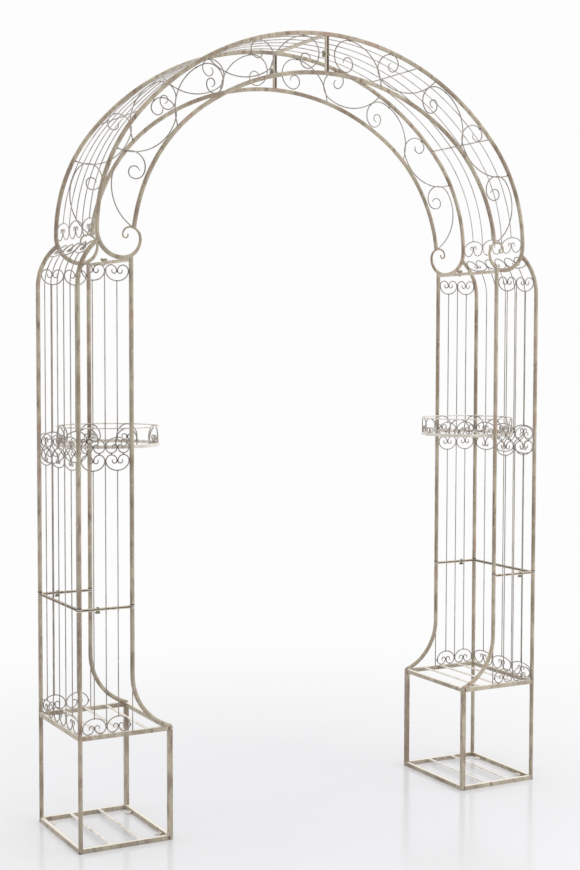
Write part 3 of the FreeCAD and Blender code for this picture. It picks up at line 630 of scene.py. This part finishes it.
# %% Upper side panel, which leans in at its head
ROW_GAP = 4.0  # over the top row
LEAN_STEP = 6
tilt = LEAN_TURN - np.degrees(np.arcsin((RING_H / 2 + ROW_GAP) / LEAN_R))
middle_part(side)
for i in range(2 * side.count - 1):
    past = past_foot(i, SIDE_PITCH)
    short = RING_H / 2 - (past if i % 2 else 0)
    turn = tilt - np.degrees(np.arcsin(short / LEAN_R))
    lean = arcs((POST_X, BEND_Z), 90, ((LEAN_R, turn),), LEAN_STEP)
    upright = straight((POST_X, MID_Z + RING_H - past), (POST_X, BEND_Z))
    line = upright_plane(np.concatenate([upright[:-1], lean]), y=side.across(i))
    side.wires.append(tube(line, WIRE_R, (0, 1, 0), WIRE_SIDES))
row_r = LEAN_R - RING_H ** 2 / 16 / LEAN_R
tilt_angle = np.radians(tilt)
inward, up_slope = np.sin(tilt_angle), np.cos(tilt_angle)
row_foot = np.array([LEAN_X + row_r * np.cos(tilt_angle), 0, BEND_Z + row_r * np.sin(tilt_angle)])
row_foot += RING_H / 2 * np.array([inward, 0, -up_slope])


def on_lean(points):
    """Flat points (a, z) on the leaning face: foot + a (0, 1, 0) + z (-sin, 0, cos) tilt."""
    a, z = points[:, 0:1], points[:, 1:2]
    return row_foot + a * [0, 1, 0] + z * [-inward, 0, up_slope]


leaning = Face(side.start, SIDE_PITCH, SIDE_RINGS, on_lean, (up_slope, 0, inward))
leaning.row(0.0, True)
side.wires += leaning.wires
side.welds += leaning.welds
add_panel("upper_side_lattice", side.parts(), "upper_side_panel", bar_finish=enamel)

# %% [markdown]
# Scrollwork fills the band between the arch's two tubes. Each scroll is a chain of arcs that
# opens from a tight curl to a long tail, and the sizes of its arcs are shares of the band's
# width. It is placed by how far the outer tube has turned and how deep it lies below it.

# %% Scrollwork
# Turn and depth of its start, heading there, and arcs as (share of the band's width, turn)
SCROLLS = (
    (4.5, 0.682, 103, ((0.137, -153), (0.205, -147), (0.419, -170), (1.154, -78))),
    (17.0, 0.273, -138, ((0.120, 181), (0.239, 29), (0.231, 127), (0.410, 145), (1.308, 80))),
    (31.8, 0.688, -158, ((0.107, -237), (0.214, -110), (0.197, -52), (0.393, -153), (1.231, -90))),
    (44.4, 0.340, -68, ((0.145, 135), (0.179, 91), (0.299, 64), (0.376, 108), (1.205, 95))),
    (65.3, 0.793, 140, ((0.145, -142), (0.154, -98), (0.248, -81), (0.368, -169), (1.188, -94))),
)
SCROLL_TIP = 0.6  # the curl's end, as a share of the wire's radius
SCROLL_TIP_POINTS = 5
SCROLL_SIDES = 10
NEAR_TUBE = TUBE_R + 6  # a scroll that comes this near the outer tube is welded to it
TAIL_POINTS = 8  # the tail's last points, which run into a tube anyway
TAIL_WELD = 3  # the tail's bead, counted in points from its end
SCROLL_WELD = (3.0, 2.8, 3.0)


def outer_point(turn, depth=0.0):
    """Point below the outer tube's line where it has turned by some degrees: the centre of
    its arc plus (radius - depth) (sin turn, cos turn)."""
    angle = np.radians(turn)
    outwards = np.array([np.sin(angle), np.cos(angle)])
    if turn <= TURN:
        return np.array([0, CROWN_Z - CROWN_R]) + (CROWN_R - depth) * outwards
    return np.array([SHOULDER_IN, SPRING_Z]) + (SHOULDER_R - depth) * outwards


def below_outer(points):
    """How deep flat points lie below the outer tube's line: the arc's radius less their
    distance from its centre, the crown's or, past the end of that arc, the shoulder's."""
    crown = CROWN_R - np.linalg.norm(points - [0, CROWN_Z - CROWN_R], axis=1)
    shoulder = SHOULDER_R - np.linalg.norm(points - [SHOULDER_IN, SPRING_Z], axis=1)
    edge = np.tan(np.radians(TURN))
    past = points[:, 0] - (points[:, 1] - CROWN_Z + CROWN_R) * edge > 0
    return np.where(past, shoulder, crown)


scroll_tubes, scroll_welds = [], []
for turn, depth, heading, chain in SCROLLS:
    start = outer_point(turn, depth * ARCH_GAP)
    flat = arcs(start, heading - turn, [(share * ARCH_GAP, bend) for share, bend in chain])
    thinned = SCROLL_TIP + (1 - SCROLL_TIP) * np.arange(len(flat)) / SCROLL_TIP_POINTS
    line = upright_plane(flat, y=-HALF_D)
    radius = SCROLL_R * np.clip(thinned, SCROLL_TIP, 1)
    scroll_tubes.append(tube(line, radius, (0, 1, 0), SCROLL_SIDES))
    deep = below_outer(flat)
    welded = [np.argmin(deep[:-TAIL_POINTS])] if deep.min() < NEAR_TUBE else []
    scroll_welds += [bead(line[i], SCROLL_WELD) for i in welded + [len(flat) - TAIL_WELD]]
sided("arch_front_scrolls", scroll_tubes, glaze, ["arch_front_scrollwork"])
back_scrolls = [flipped(mesh, 1) for mesh in scroll_tubes]
sided("arch_back_scrolls", back_scrolls, glaze, ["arch_back_scrollwork"])
scroll_welds += [flipped(mesh, 1) for mesh in scroll_welds]
sided("arch_scroll_welds", scroll_welds, weld_scale_and_shade, [])

# %% [markdown]
# The roof is five wires bent to the outer tube's own curve, with a rod across under them in
# two places, and a row of heart rings hangs at the eaves. They are the same wire as the
# tower's lattice, so the same tube function makes them.

# %% Roof lattice
CROSS_X = 4.45  # where the wires end, at the crown's cross tubes
ROD_TURNS = (24.2, 48.5)  # where the rods cross, by the outer tube's turn in degrees
ROOF_POINTS = 90
ROOF_WELD = (2.2, 2.2, 2.2)
roof = Face(side.start, SIDE_PITCH, SIDE_RINGS,
            lambda p: upright_plane(p, x=ARCH_X, side_on=True), (1, 0, 0))
roof.row(SPRING_Z - EAVE_DROP, False, height=EAVE_RING_H)
crown_end = np.degrees(np.arcsin(CROSS_X / CROWN_R))
for i in range(2 * roof.count - 1):
    past = past_foot(i, SIDE_PITCH, EAVE_RING_H)
    eave_end = 90 - np.degrees(np.arcsin((EAVE_RING_H - EAVE_DROP - past) / SHOULDER_R))
    turns = np.linspace(crown_end, eave_end, ROOF_POINTS)
    flat = np.array([outer_point(turn) for turn in turns])
    y = roof.across(i)
    roof.wires.append(tube(upright_plane(flat, y=y), WIRE_R, (0, 1, 0), WIRE_SIDES))
    for turn in ROD_TURNS:
        roof.welds.append(bead(upright_plane(outer_point(turn)[None], y=y)[0], ROOF_WELD))
for turn in ROD_TURNS:
    x, z = outer_point(turn)
    rod = straight((x, -HALF_D, z), (x, HALF_D, z))
    roof.wires.append(tube(rod, ROD_R, (1, 0, 0), WIRE_SIDES))
sided("roof_lattice", roof.wires, pale_roof_glaze,
      ["roof_crown_lattice", "roof_slope_lattice", "roof_eave_lattice"])
sided("roof_lattice_welds", roof.welds, weld_scale_and_shade, [])

# %% [markdown]
# The pot holder is a wire hoop over a flat hoop, with eight heart rings bent round between
# them. A flat ring is wrapped on the hoop's cylinder: its width becomes an angle and its
# height stays, so it follows the round as the real one does.

# %% Pot holders
POT_RINGS = 8
POT_HEART = 71.0  # length of one of its rings
POT_HEART_H = POT_H - 1
POT_WELD_RISE = POT_HEART / 4 + 2  # where its ends meet, above the foot
POT_CURL_R = 8.0
POT_HEART_IN = 3.2  # the rings' line, inside the holder's outer edge
POT_HEART_LIFT = 0.5  # the rings' foot, above the lower hoop's
HOOP_POINTS = 96
HOOP_SIDES, BAND_SIDES = 10, 16
POT_WELD = (2.6, 2.6, 4.5)
POT_FOOT = POT_TOP - POT_H
pot_axis = np.array([POT_X, 0, 0])


def wrapped(points, azimuth, radius):
    """Flat points (a, z) on a cylinder about the pot's axis, at the angle azimuth + a / r:
    axis + r (cos, sin, 0) + z (0, 0, 1). Gives the points and their outward directions."""
    angle = np.radians(azimuth) + points[:, 0] / radius
    out = np.stack([np.cos(angle), np.sin(angle), np.zeros_like(angle)], 1)
    return pot_axis + radius * out + points[:, 1:2] * [0, 0, 1], out


def hoop(z, wire, sides, squash=1.0):
    """Closed hoop round the pot at height z, with its outside on the holder's outer edge."""
    run = np.linspace(0, 2 * np.pi, HOOP_POINTS + 1)[:-1] * (POT_R - HOOP_R)
    line, out = wrapped(np.stack([run, np.full(HOOP_POINTS, z)], 1), 0, POT_R - wire)
    return tube(line, wire, out, sides, closed=True, squash=squash)


pot = [hoop(POT_TOP - HOOP_R, HOOP_R, HOOP_SIDES),
       hoop(POT_FOOT + BAND_H / 2, BAND_R, BAND_SIDES, squash=BAND_H / 2 / BAND_R)]
pot_welds, pot_hearts = [], []
for azimuth in range(0, 360, 360 // POT_RINGS):
    path = heart(POT_HEART, POT_HEART_H, False, curl=POT_CURL_R)
    line, out = wrapped(path + [0, POT_FOOT + POT_HEART_LIFT], azimuth, POT_R - POT_HEART_IN)
    pot_hearts.append(tube(line, tapered(path), out, WIRE_SIDES))
    ends = np.array([[0.0, POT_FOOT + POT_WELD_RISE]])
    pot_welds.append(bead(wrapped(ends, azimuth, POT_R - POT_HEART_IN)[0][0], POT_WELD))
sided("pot_hoops", pot, cream_enamel, ["pot_holder"])
sided("pot_hearts", pot_hearts, glaze, [])
sided("pot_ring_welds", pot_welds, weld_scale_and_shade, [])

# %% [markdown]
# A base box has a bottom and a top frame of square tube, each with flat slats across that a
# planter stands on. The slats are the palest of the whole arch, a painted highlight for the
# light on their tops, so they are a piece of their own. A bar with slightly rounded corners,
# carried along each rail's line, catches the light on its edges as drawn tube does.

# %% Base frames
SLAT_W, SLAT_T = 10.0, 3.0
SLAT_SUNK = 1.0  # how deep a slat ends in its rails
RAIL_EDGE, SLAT_EDGE = 1.1, 0.5
RAIL_STEP = 40


def base_frame(top, slats):
    """Four rails between the posts, and slats flush with their tops."""
    z = top - RAIL / 2
    corner = HALF_D + RAIL / 2
    ends = [((LEG_X + RAIL / 4, y), (POST_X, y)) for y in (-HALF_D, HALF_D)]
    ends += [((LEG_X, -corner), (LEG_X, corner)), ((POST_X, -HALF_D), (POST_X, HALF_D))]
    rails = [straight((*start, z), (*end, z), RAIL_STEP) for start, end in ends]
    xs = LEG_X + (POST_X - LEG_X) * np.arange(1, slats + 1) / (slats + 1)
    half = HALF_D - RAIL / 2 + SLAT_SUNK
    z = top - SLAT_T / 2
    flats = [straight((x, -half, z), (x, half, z), RAIL_STEP) for x in xs]
    return ([flat_bar(line, RAIL, RAIL, (0, 0, 1), RAIL_EDGE) for line in rails],
            [flat_bar(line, SLAT_W, SLAT_T, (1, 0, 0), SLAT_EDGE) for line in flats])


for name, top, slats in (("bottom", RAIL, 2), ("top", BASE_TOP, 3)):
    rails, flats = base_frame(top, slats)
    sided("base_%s_rails" % name, rails, rail_enamel, ["base_%s_frame" % name],
          smooth=False)
    # The slats' palest cream is a painted highlight for the light on their tops.
    sided("base_%s_slats" % name, flats, cream_enamel, [], smooth=False)

# %% [markdown]
# Posts, arch tubes, top bars and cross tubes keep the model's own solids, whose shape is
# right, and only take the enamel. Their coordinates are the whole arch's, so the mottling
# runs on from one tube to the next.

# %% Enamel on the kept solids
REPLACED = ("panel", "scrollwork", "roof_", "pot_holder", "_frame", "joint_bars")
PALE = ("top_bar", "cross_tubes")
kept = [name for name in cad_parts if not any(word in name for word in REPLACED)]
for name in kept:
    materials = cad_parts[name].data.materials
    materials.clear()
    materials.append(pale_enamel if any(word in name for word in PALE) else enamel)
print("enamelled nodes:", len(kept))

# %% [markdown]
# Wing bolts hold the towers' halves, the top bars and the crown together. A bolt is a profile
# turned on a lathe, domed head, shank and nut in one outline, and the wing nut's two ears are
# flattened tubes. At the joint the ears open along the bar.

# %% Bolts
LATHE_SIDES = 16
NEARLY_ALONG = 0.9
HEAD = ((0.2, 3.2), (2.4, 2.9), (3.9, 1.8), (4.4, 0.2))  # radius, height over the grip
NUT = ((3.6, 0.2), (3.3, 4.6), (2.0, 4.8), (2.0, 8.0), (0.2, 8.4))  # radius, depth under it
EAR_R = (1.6, 2.4, 2.0)  # an ear at its root, middle and tip
EAR_ROOT = 2.4  # from the axis, and under the grip
EAR_MID = 0.57  # its middle, as a share of its reach
EAR_DROPS = (2.2, 5.6)  # its middle and tip, further along the axis


def turned(profile, base, axis, sides=LATHE_SIDES, caps=True):
    """Lathe: p = base + height axis + radius (cos t u + sin t v), with u and v square to the
    axis. Without caps, the profile's last point is its first and the rings close."""
    profile = np.array(profile, float)
    axis = np.array(axis, float) / np.linalg.norm(axis)
    path = np.asarray(base, float) + profile[:, 1:2] * axis
    u = np.cross(axis, (0, 1, 0) if abs(axis[1]) < NEARLY_ALONG else (1, 0, 0))
    u /= np.linalg.norm(u)
    v = np.cross(axis, u)
    t = 2 * np.pi * np.arange(sides) / sides
    ring = np.cos(t)[:, None] * u + np.sin(t)[:, None] * v
    verts = (path[:, None] + profile[:, 0][:, None, None] * ring[None]).reshape(-1, 3)
    i = np.arange(len(profile) - 1)[:, None] * sides
    j = np.arange(sides)[None, :]
    k = (j + 1) % sides
    faces = np.stack([i + j, i + k, i + sides + k, i + sides + j], -1).reshape(-1, 4).tolist()
    last = (len(profile) - 1) * sides
    if not caps:
        return verts[:last], [[index % last for index in face] for face in faces]
    return verts, faces + [list(range(sides))[::-1], list(range(last, last + sides))]


def bolt(centre, axis, grip, wings, reach=6.0, broad=2.0):
    """Domed head on one side of the grip, wing nut and shank's end on the other. The ears
    open along wings by their reach, and are as many times broad as they are thick."""
    centre, axis, wings = (np.array(value, float) for value in (centre, axis, wings))
    head = [(radius, grip / 2 + height) for radius, height in HEAD]
    nut = [(radius, -grip / 2 - depth) for radius, depth in NUT]
    meshes = [turned((head + nut)[::-1], centre, axis)]
    for sign in (-1, 1):
        out = sign * wings
        root = centre - axis * (grip / 2 + EAR_ROOT) + out * EAR_ROOT
        ear = np.array([root, root + out * reach * EAR_MID - axis * EAR_DROPS[0],
                        root + out * reach - axis * EAR_DROPS[1]])
        meshes.append(tube(ear, EAR_R, np.cross(wings, axis), WIRE_SIDES, squash=broad))
    return meshes


# %% Place the bolts
JOINT_BOLT_X = 745
TOP_BOLT_Y = 41
TOP_BARS_GAP = 0.4  # between the two top bars
HEEL_HEAD = ((4.2, -1.0), (4.4, 1.2), (3.4, 2.8), (0.2, 3.6))  # radius, height
HEEL_HEAD_OUT = 6.0  # from the tube's line
bolts, heel_bolts = [], []
for y in (-HALF_D, HALF_D):
    bolts += bolt((JOINT_BOLT_X, y, JOINT_Z), (0, 0, 1), 2 * BAR, (1, 0, 0), reach=3.2, broad=1.5)
    out = np.array([MEET_X - HEEL_X, 0, -LEAN_DROP]) / HEEL_R
    meet = np.array([MEET_X, y, SPRING_Z - LEAN_DROP])
    heel_bolts.append(turned(HEEL_HEAD, meet + out * HEEL_HEAD_OUT, out))
bolts += bolt((INNER_X, TOP_BOLT_Y, BARS_Z), (0, 0, -1), 2 * TOP_BAR_T + TOP_BARS_GAP, (1, 0, 0))
sided("bolts", bolts, bolt_paint, [])
sided("heel_bolts", heel_bolts, weld_scale_and_shade, [])

# %% [markdown]
# The arch's halves meet in two flat uprights, side by side, at the crown. The left one is
# painted pale as the lit one and the right one dark brown as the shaded one: painted highlight
# and painted shade. They run from the outer tube to the under side of the inner one, and one
# bolt with a wing nut holds each pair.

# %% Crown uprights
UPRIGHT_W, UPRIGHT_T = 6.0, 7.0
UPRIGHT_X = 3.7
UPRIGHT_EDGE = 1.4
UPRIGHT_STEP = 12
UPRIGHT_LOW = CROWN_Z - ARCH_GAP - TUBE_R + 0.5
UPRIGHT_HIGH = CROWN_Z - 2.0
CROWN_BOLT_DROP = 60
crown_bolts = []
for y in (-HALF_D, HALF_D):
    grip = 2 * UPRIGHT_X + UPRIGHT_W
    crown_bolts += bolt((0, y, CROWN_Z - CROWN_BOLT_DROP), (1, 0, 0), grip, (0, 0, 1))
# The left upright's pale finish is painted highlight, the right one's brown is painted shade.
for hand, x, finish in (("left", -UPRIGHT_X, pale_enamel), ("right", UPRIGHT_X, shaded_upright_paint)):
    lines = [straight((x, y, UPRIGHT_LOW), (x, y, UPRIGHT_HIGH), UPRIGHT_STEP)
             for y in (-HALF_D, HALF_D)]
    bars = [flat_bar(line, UPRIGHT_W, UPRIGHT_T, (1, 0, 0), UPRIGHT_EDGE) for line in lines]
    piece(hand + "_crown_uprights", bars, finish, ["crown_joint_bars"], smooth=False)
piece("crown_bolts", crown_bolts, bolt_paint, [])

# %% [markdown]
# Small things tell how the frame is put together: the joint's bars pass between the upper and
# lower posts and show as pale collars, with painted shade in the seam between them, beads of
# weld hold the rails to the posts, and rings in the base's corners take the ground pegs.
# Collars, seams and the dark rings at the posts' feet are turned rings, and the peg rings are
# closed tubes.

# %% Joint collars and feet
PROUD = 0.04  # how far a collar stands out of its post, and of the model's box
COLLAR_DEPTH = 1.0  # of its inner side in the post
COLLAR_SIDES = 60
UPPER_SEAM = 4.0  # dark band over the upper collar
FOOT_H = 4.0


def collar(x, y, low, high):
    """Turned ring round a post between two heights, closed on its inner side."""
    inner, outer = TUBE_R - COLLAR_DEPTH, TUBE_R + PROUD
    profile = [(inner, low), (outer, low), (outer, high), (inner, high), (inner, low)]
    return turned(profile, (x, y, 0), (0, 0, 1), COLLAR_SIDES, caps=False)


collars, seams, feet = [], [], []
for y in (-HALF_D, HALF_D):
    for x in (POST_X, INNER_X):
        collars.append(collar(x, y, JOINT_Z - BAR, JOINT_Z - SEAM / 2))
        collars.append(collar(x, y, JOINT_Z + SEAM / 2, JOINT_Z + BAR))
        # The ring in the seam round each post is painted shade too.
        seams.append(collar(x, y, JOINT_Z - SEAM / 2, JOINT_Z + SEAM / 2))
        seams.append(collar(x, y, JOINT_Z + BAR, JOINT_Z + BAR + UPPER_SEAM))
    # A near-black ring, FOOT_H high, round the foot of each post and inner leg.
    for x in (POST_X, LEG_X):
        feet.append(collar(x, y, 0, FOOT_H))
sided("joint_collars", collars, cream_enamel, [])
sided("joint_seams", seams, weld_scale_and_shade, [])
sided("post_feet", feet, weld_scale_and_shade, [])

# %% Corner welds and peg rings
PEG_IN = TUBE_R + 8.0  # from the legs' lines
PEG_FROM_CORNER = 52.0
PEG_R = 7.6
PEG_Z = 5.0
PEG_WIRE = 1.7
PEG_SQUASH = 1.8
PEG_POINTS = 28
WELD_IN = TUBE_R + 1.0  # a corner's bead, from the posts' lines
CORNER_WELD = (2.6, 2.6, 5.2)
LEG_WELD = (8.0, 6.4, 2.6)  # over the inner legs
LEG_WELD_LIFT = 1.5
BAR_WELD = (7.4, 6.4, 1.8)  # where the inner posts meet the top bars
corner_welds, pegs = [], []
t = 2 * np.pi * np.arange(PEG_POINTS) / PEG_POINTS
for way in (-1, 1):
    for z in (RAIL / 2, BASE_TOP - RAIL / 2):
        for x in (POST_X - WELD_IN, LEG_X + WELD_IN):
            corner_welds.append(bead((x, way * (HALF_D - WELD_IN), z), CORNER_WELD))
    for x in (LEG_X + PEG_IN, POST_X - PEG_IN):
        y = way * (HALF_D - PEG_FROM_CORNER)
        ring = np.stack([x + PEG_R * np.cos(t), y + PEG_R * np.sin(t), np.full_like(t, PEG_Z)], 1)
        pegs.append(tube(ring, PEG_WIRE, (0, 0, 1), closed=True, squash=PEG_SQUASH))
for y in (-HALF_D, HALF_D):
    corner_welds.append(bead((LEG_X, y, BASE_TOP + LEG_WELD_LIFT), LEG_WELD))
    corner_welds.append(bead((INNER_X, y, BARS_Z), BAR_WELD))
sided("corner_welds", corner_welds, enamel, [])
sided("peg_rings", pegs, cream_enamel, [])

# %% [markdown]
# The studio is plain: a pale floor with a faint shine that fades to white, a world that is
# brighter overhead and at the rear, and three soft lamps that give the tubes a light side.
# The camera sees the world as white through Light Path, and the lamps don't show in
# reflections, so the floor stays clean.

# %% Floor
FLOOR_HALF = 30.0
FADE_TO = 2.9  # metres from the middle where the floor has faded to white
STUDIO_WHITE = "#fdfdfd"
CARD, CARD_SHINE = "#d2d2d5", 0.16  # the floor's grey, and its roughness
floor_mesh = bpy.data.meshes.new("floor")
corners = [(x * FLOOR_HALF, y * FLOOR_HALF, 0) for x, y in ((-1, -1), (1, -1), (1, 1), (-1, 1))]
floor_mesh.from_pydata(corners, [], [(0, 1, 2, 3)])
floor = bpy.data.objects.new("floor", floor_mesh)
bpy.context.collection.objects.link(floor)
card = bpy.data.materials.new("studio_card")
tree = empty_tree(card)
place = node(tree, "ShaderNodeTexCoord").outputs["Object"]
away = node(tree, "ShaderNodeVectorMath", {"operation": "LENGTH"}, i0=place).outputs["Value"]
fade = remap(tree, away, 0.0, FADE_TO, kind="SMOOTHSTEP")
near = node(tree, "ShaderNodeBsdfPrincipled", Base_Color=linear(CARD), Roughness=CARD_SHINE)
far = node(tree, "ShaderNodeEmission", Color=linear(STUDIO_WHITE), Strength=1.0)
mixed = node(tree, "ShaderNodeMixShader", i0=fade, i1=near.outputs[0], i2=far.outputs[0])
node(tree, "ShaderNodeOutputMaterial", Surface=mixed.outputs[0])
floor_mesh.materials.append(card)
print("floor fades to white over %.1f m" % FADE_TO)

# %% World: brighter overhead and behind, white where the camera or a reflection sees it
RISE = (0.1, 0.9)  # heights in the sky, as sines, between which the light grows
OVERHEAD = (0.36, 0.9)  # light at the lower and at the upper one
REAR = (0.6, 1.3)  # share of it from the front and from the rear
world = bpy.data.worlds.new("studio")
bpy.context.scene.world = world
tree = empty_tree(world)
path = node(tree, "ShaderNodeLightPath").outputs
seen = node(tree, "ShaderNodeMath", {"operation": "MAXIMUM"},
            i0=path["Is Camera Ray"], i1=path["Is Glossy Ray"])
direction = node(tree, "ShaderNodeTexCoord").outputs["Generated"]
aim = node(tree, "ShaderNodeSeparateXYZ", i0=direction).outputs
overhead = remap(tree, aim["Z"], *RISE, *OVERHEAD)
rear = remap(tree, aim["Y"], -1.0, 1.0, *REAR)
level = node(tree, "ShaderNodeMath", {"operation": "MULTIPLY"}, i0=overhead, i1=rear)
soft = node(tree, "ShaderNodeBackground", Color=(1, 1, 1, 1), Strength=level.outputs[0])
white = node(tree, "ShaderNodeBackground", Color=linear(STUDIO_WHITE), Strength=1.0)
sky = node(tree, "ShaderNodeMixShader", i0=seen.outputs[0], i1=soft.outputs[0], i2=white.outputs[0])
node(tree, "ShaderNodeOutputWorld", Surface=sky.outputs[0])
print("world:", world.name)

# %% Lamps
# Name, place, the point that it is aimed at, size in metres and power in watts
LAMPS = (
    ("overhead", (0.4, 0.3, 9.0), (0, 0, 1.0), 5.0, 380),
    ("left_side", (-4.4, 1.4, 1.9), (0, 0, 1.2), 2.8, 30),
    ("right_side", (3.3, -3.3, 1.9), (0.6, 0, 1.2), 2.8, 110),
)


def softbox(name, place, target, size, power):
    """Square area lamp aimed at a point: tilted by arccos(-z) of the unit aim, and turned by
    arctan2(-x, y). Reflections don't show it."""
    lamp = bpy.data.lights.new(name, "AREA")
    lamp.size = size
    lamp.energy = power
    item = bpy.data.objects.new(name, lamp)
    bpy.context.collection.objects.link(item)
    item.location = place
    aim = np.array(target) - np.array(place)
    tilted = np.arccos(-aim[2] / np.linalg.norm(aim))
    item.rotation_euler = (tilted, 0, np.arctan2(-aim[0], aim[1]))
    item.visible_glossy = False


for lamp in LAMPS:
    softbox(*lamp)
print("lamps:", len(LAMPS))

# %% [markdown]
# The camera stands where the photograph was taken from: its place and turns came from
# fitting the posts' and rails' ends, and the lens is the fitted focal length on a 36 mm film.

# %% Camera
FILM = 36
FOCAL_PX = 1501.42
IMAGE_HEIGHT = 870
CAMERA_PLACE = (-2.2873, -4.1526, 1.4355)
HEADING, PITCH, ROLL = -0.498043, -0.050427, 0.024797


def turn_about(axis, angle):
    """Rotation matrix about X, Y or Z: (cos, -sin; sin, cos) in the other two axes' rows and
    columns, with the sine's sign changed for Y."""
    c, s = np.cos(angle), np.sin(angle)
    i, j = [k for k in range(3) if k != axis]
    matrix = np.eye(3)
    sign = -1 if axis == 1 else 1
    matrix[i, i], matrix[i, j], matrix[j, i], matrix[j, j] = c, -s * sign, s * sign, c
    return matrix


view = turn_about(1, ROLL) @ turn_about(0, PITCH) @ turn_about(2, HEADING)
camera_data = bpy.data.cameras.new("camera")
camera_data.lens = FILM * FOCAL_PX / IMAGE_HEIGHT
camera = bpy.data.objects.new("camera", camera_data)
bpy.context.collection.objects.link(camera)
matrix = np.eye(4)
matrix[:3, 0], matrix[:3, 1], matrix[:3, 2] = view[:, 0], view[:, 2], -view[:, 1]
matrix[:3, 3] = CAMERA_PLACE
camera.matrix_world = Matrix(matrix.tolist())
bpy.context.scene.camera = camera
bpy.context.scene.view_settings.view_transform = "Standard"
print("lens %.1f mm" % camera_data.lens)
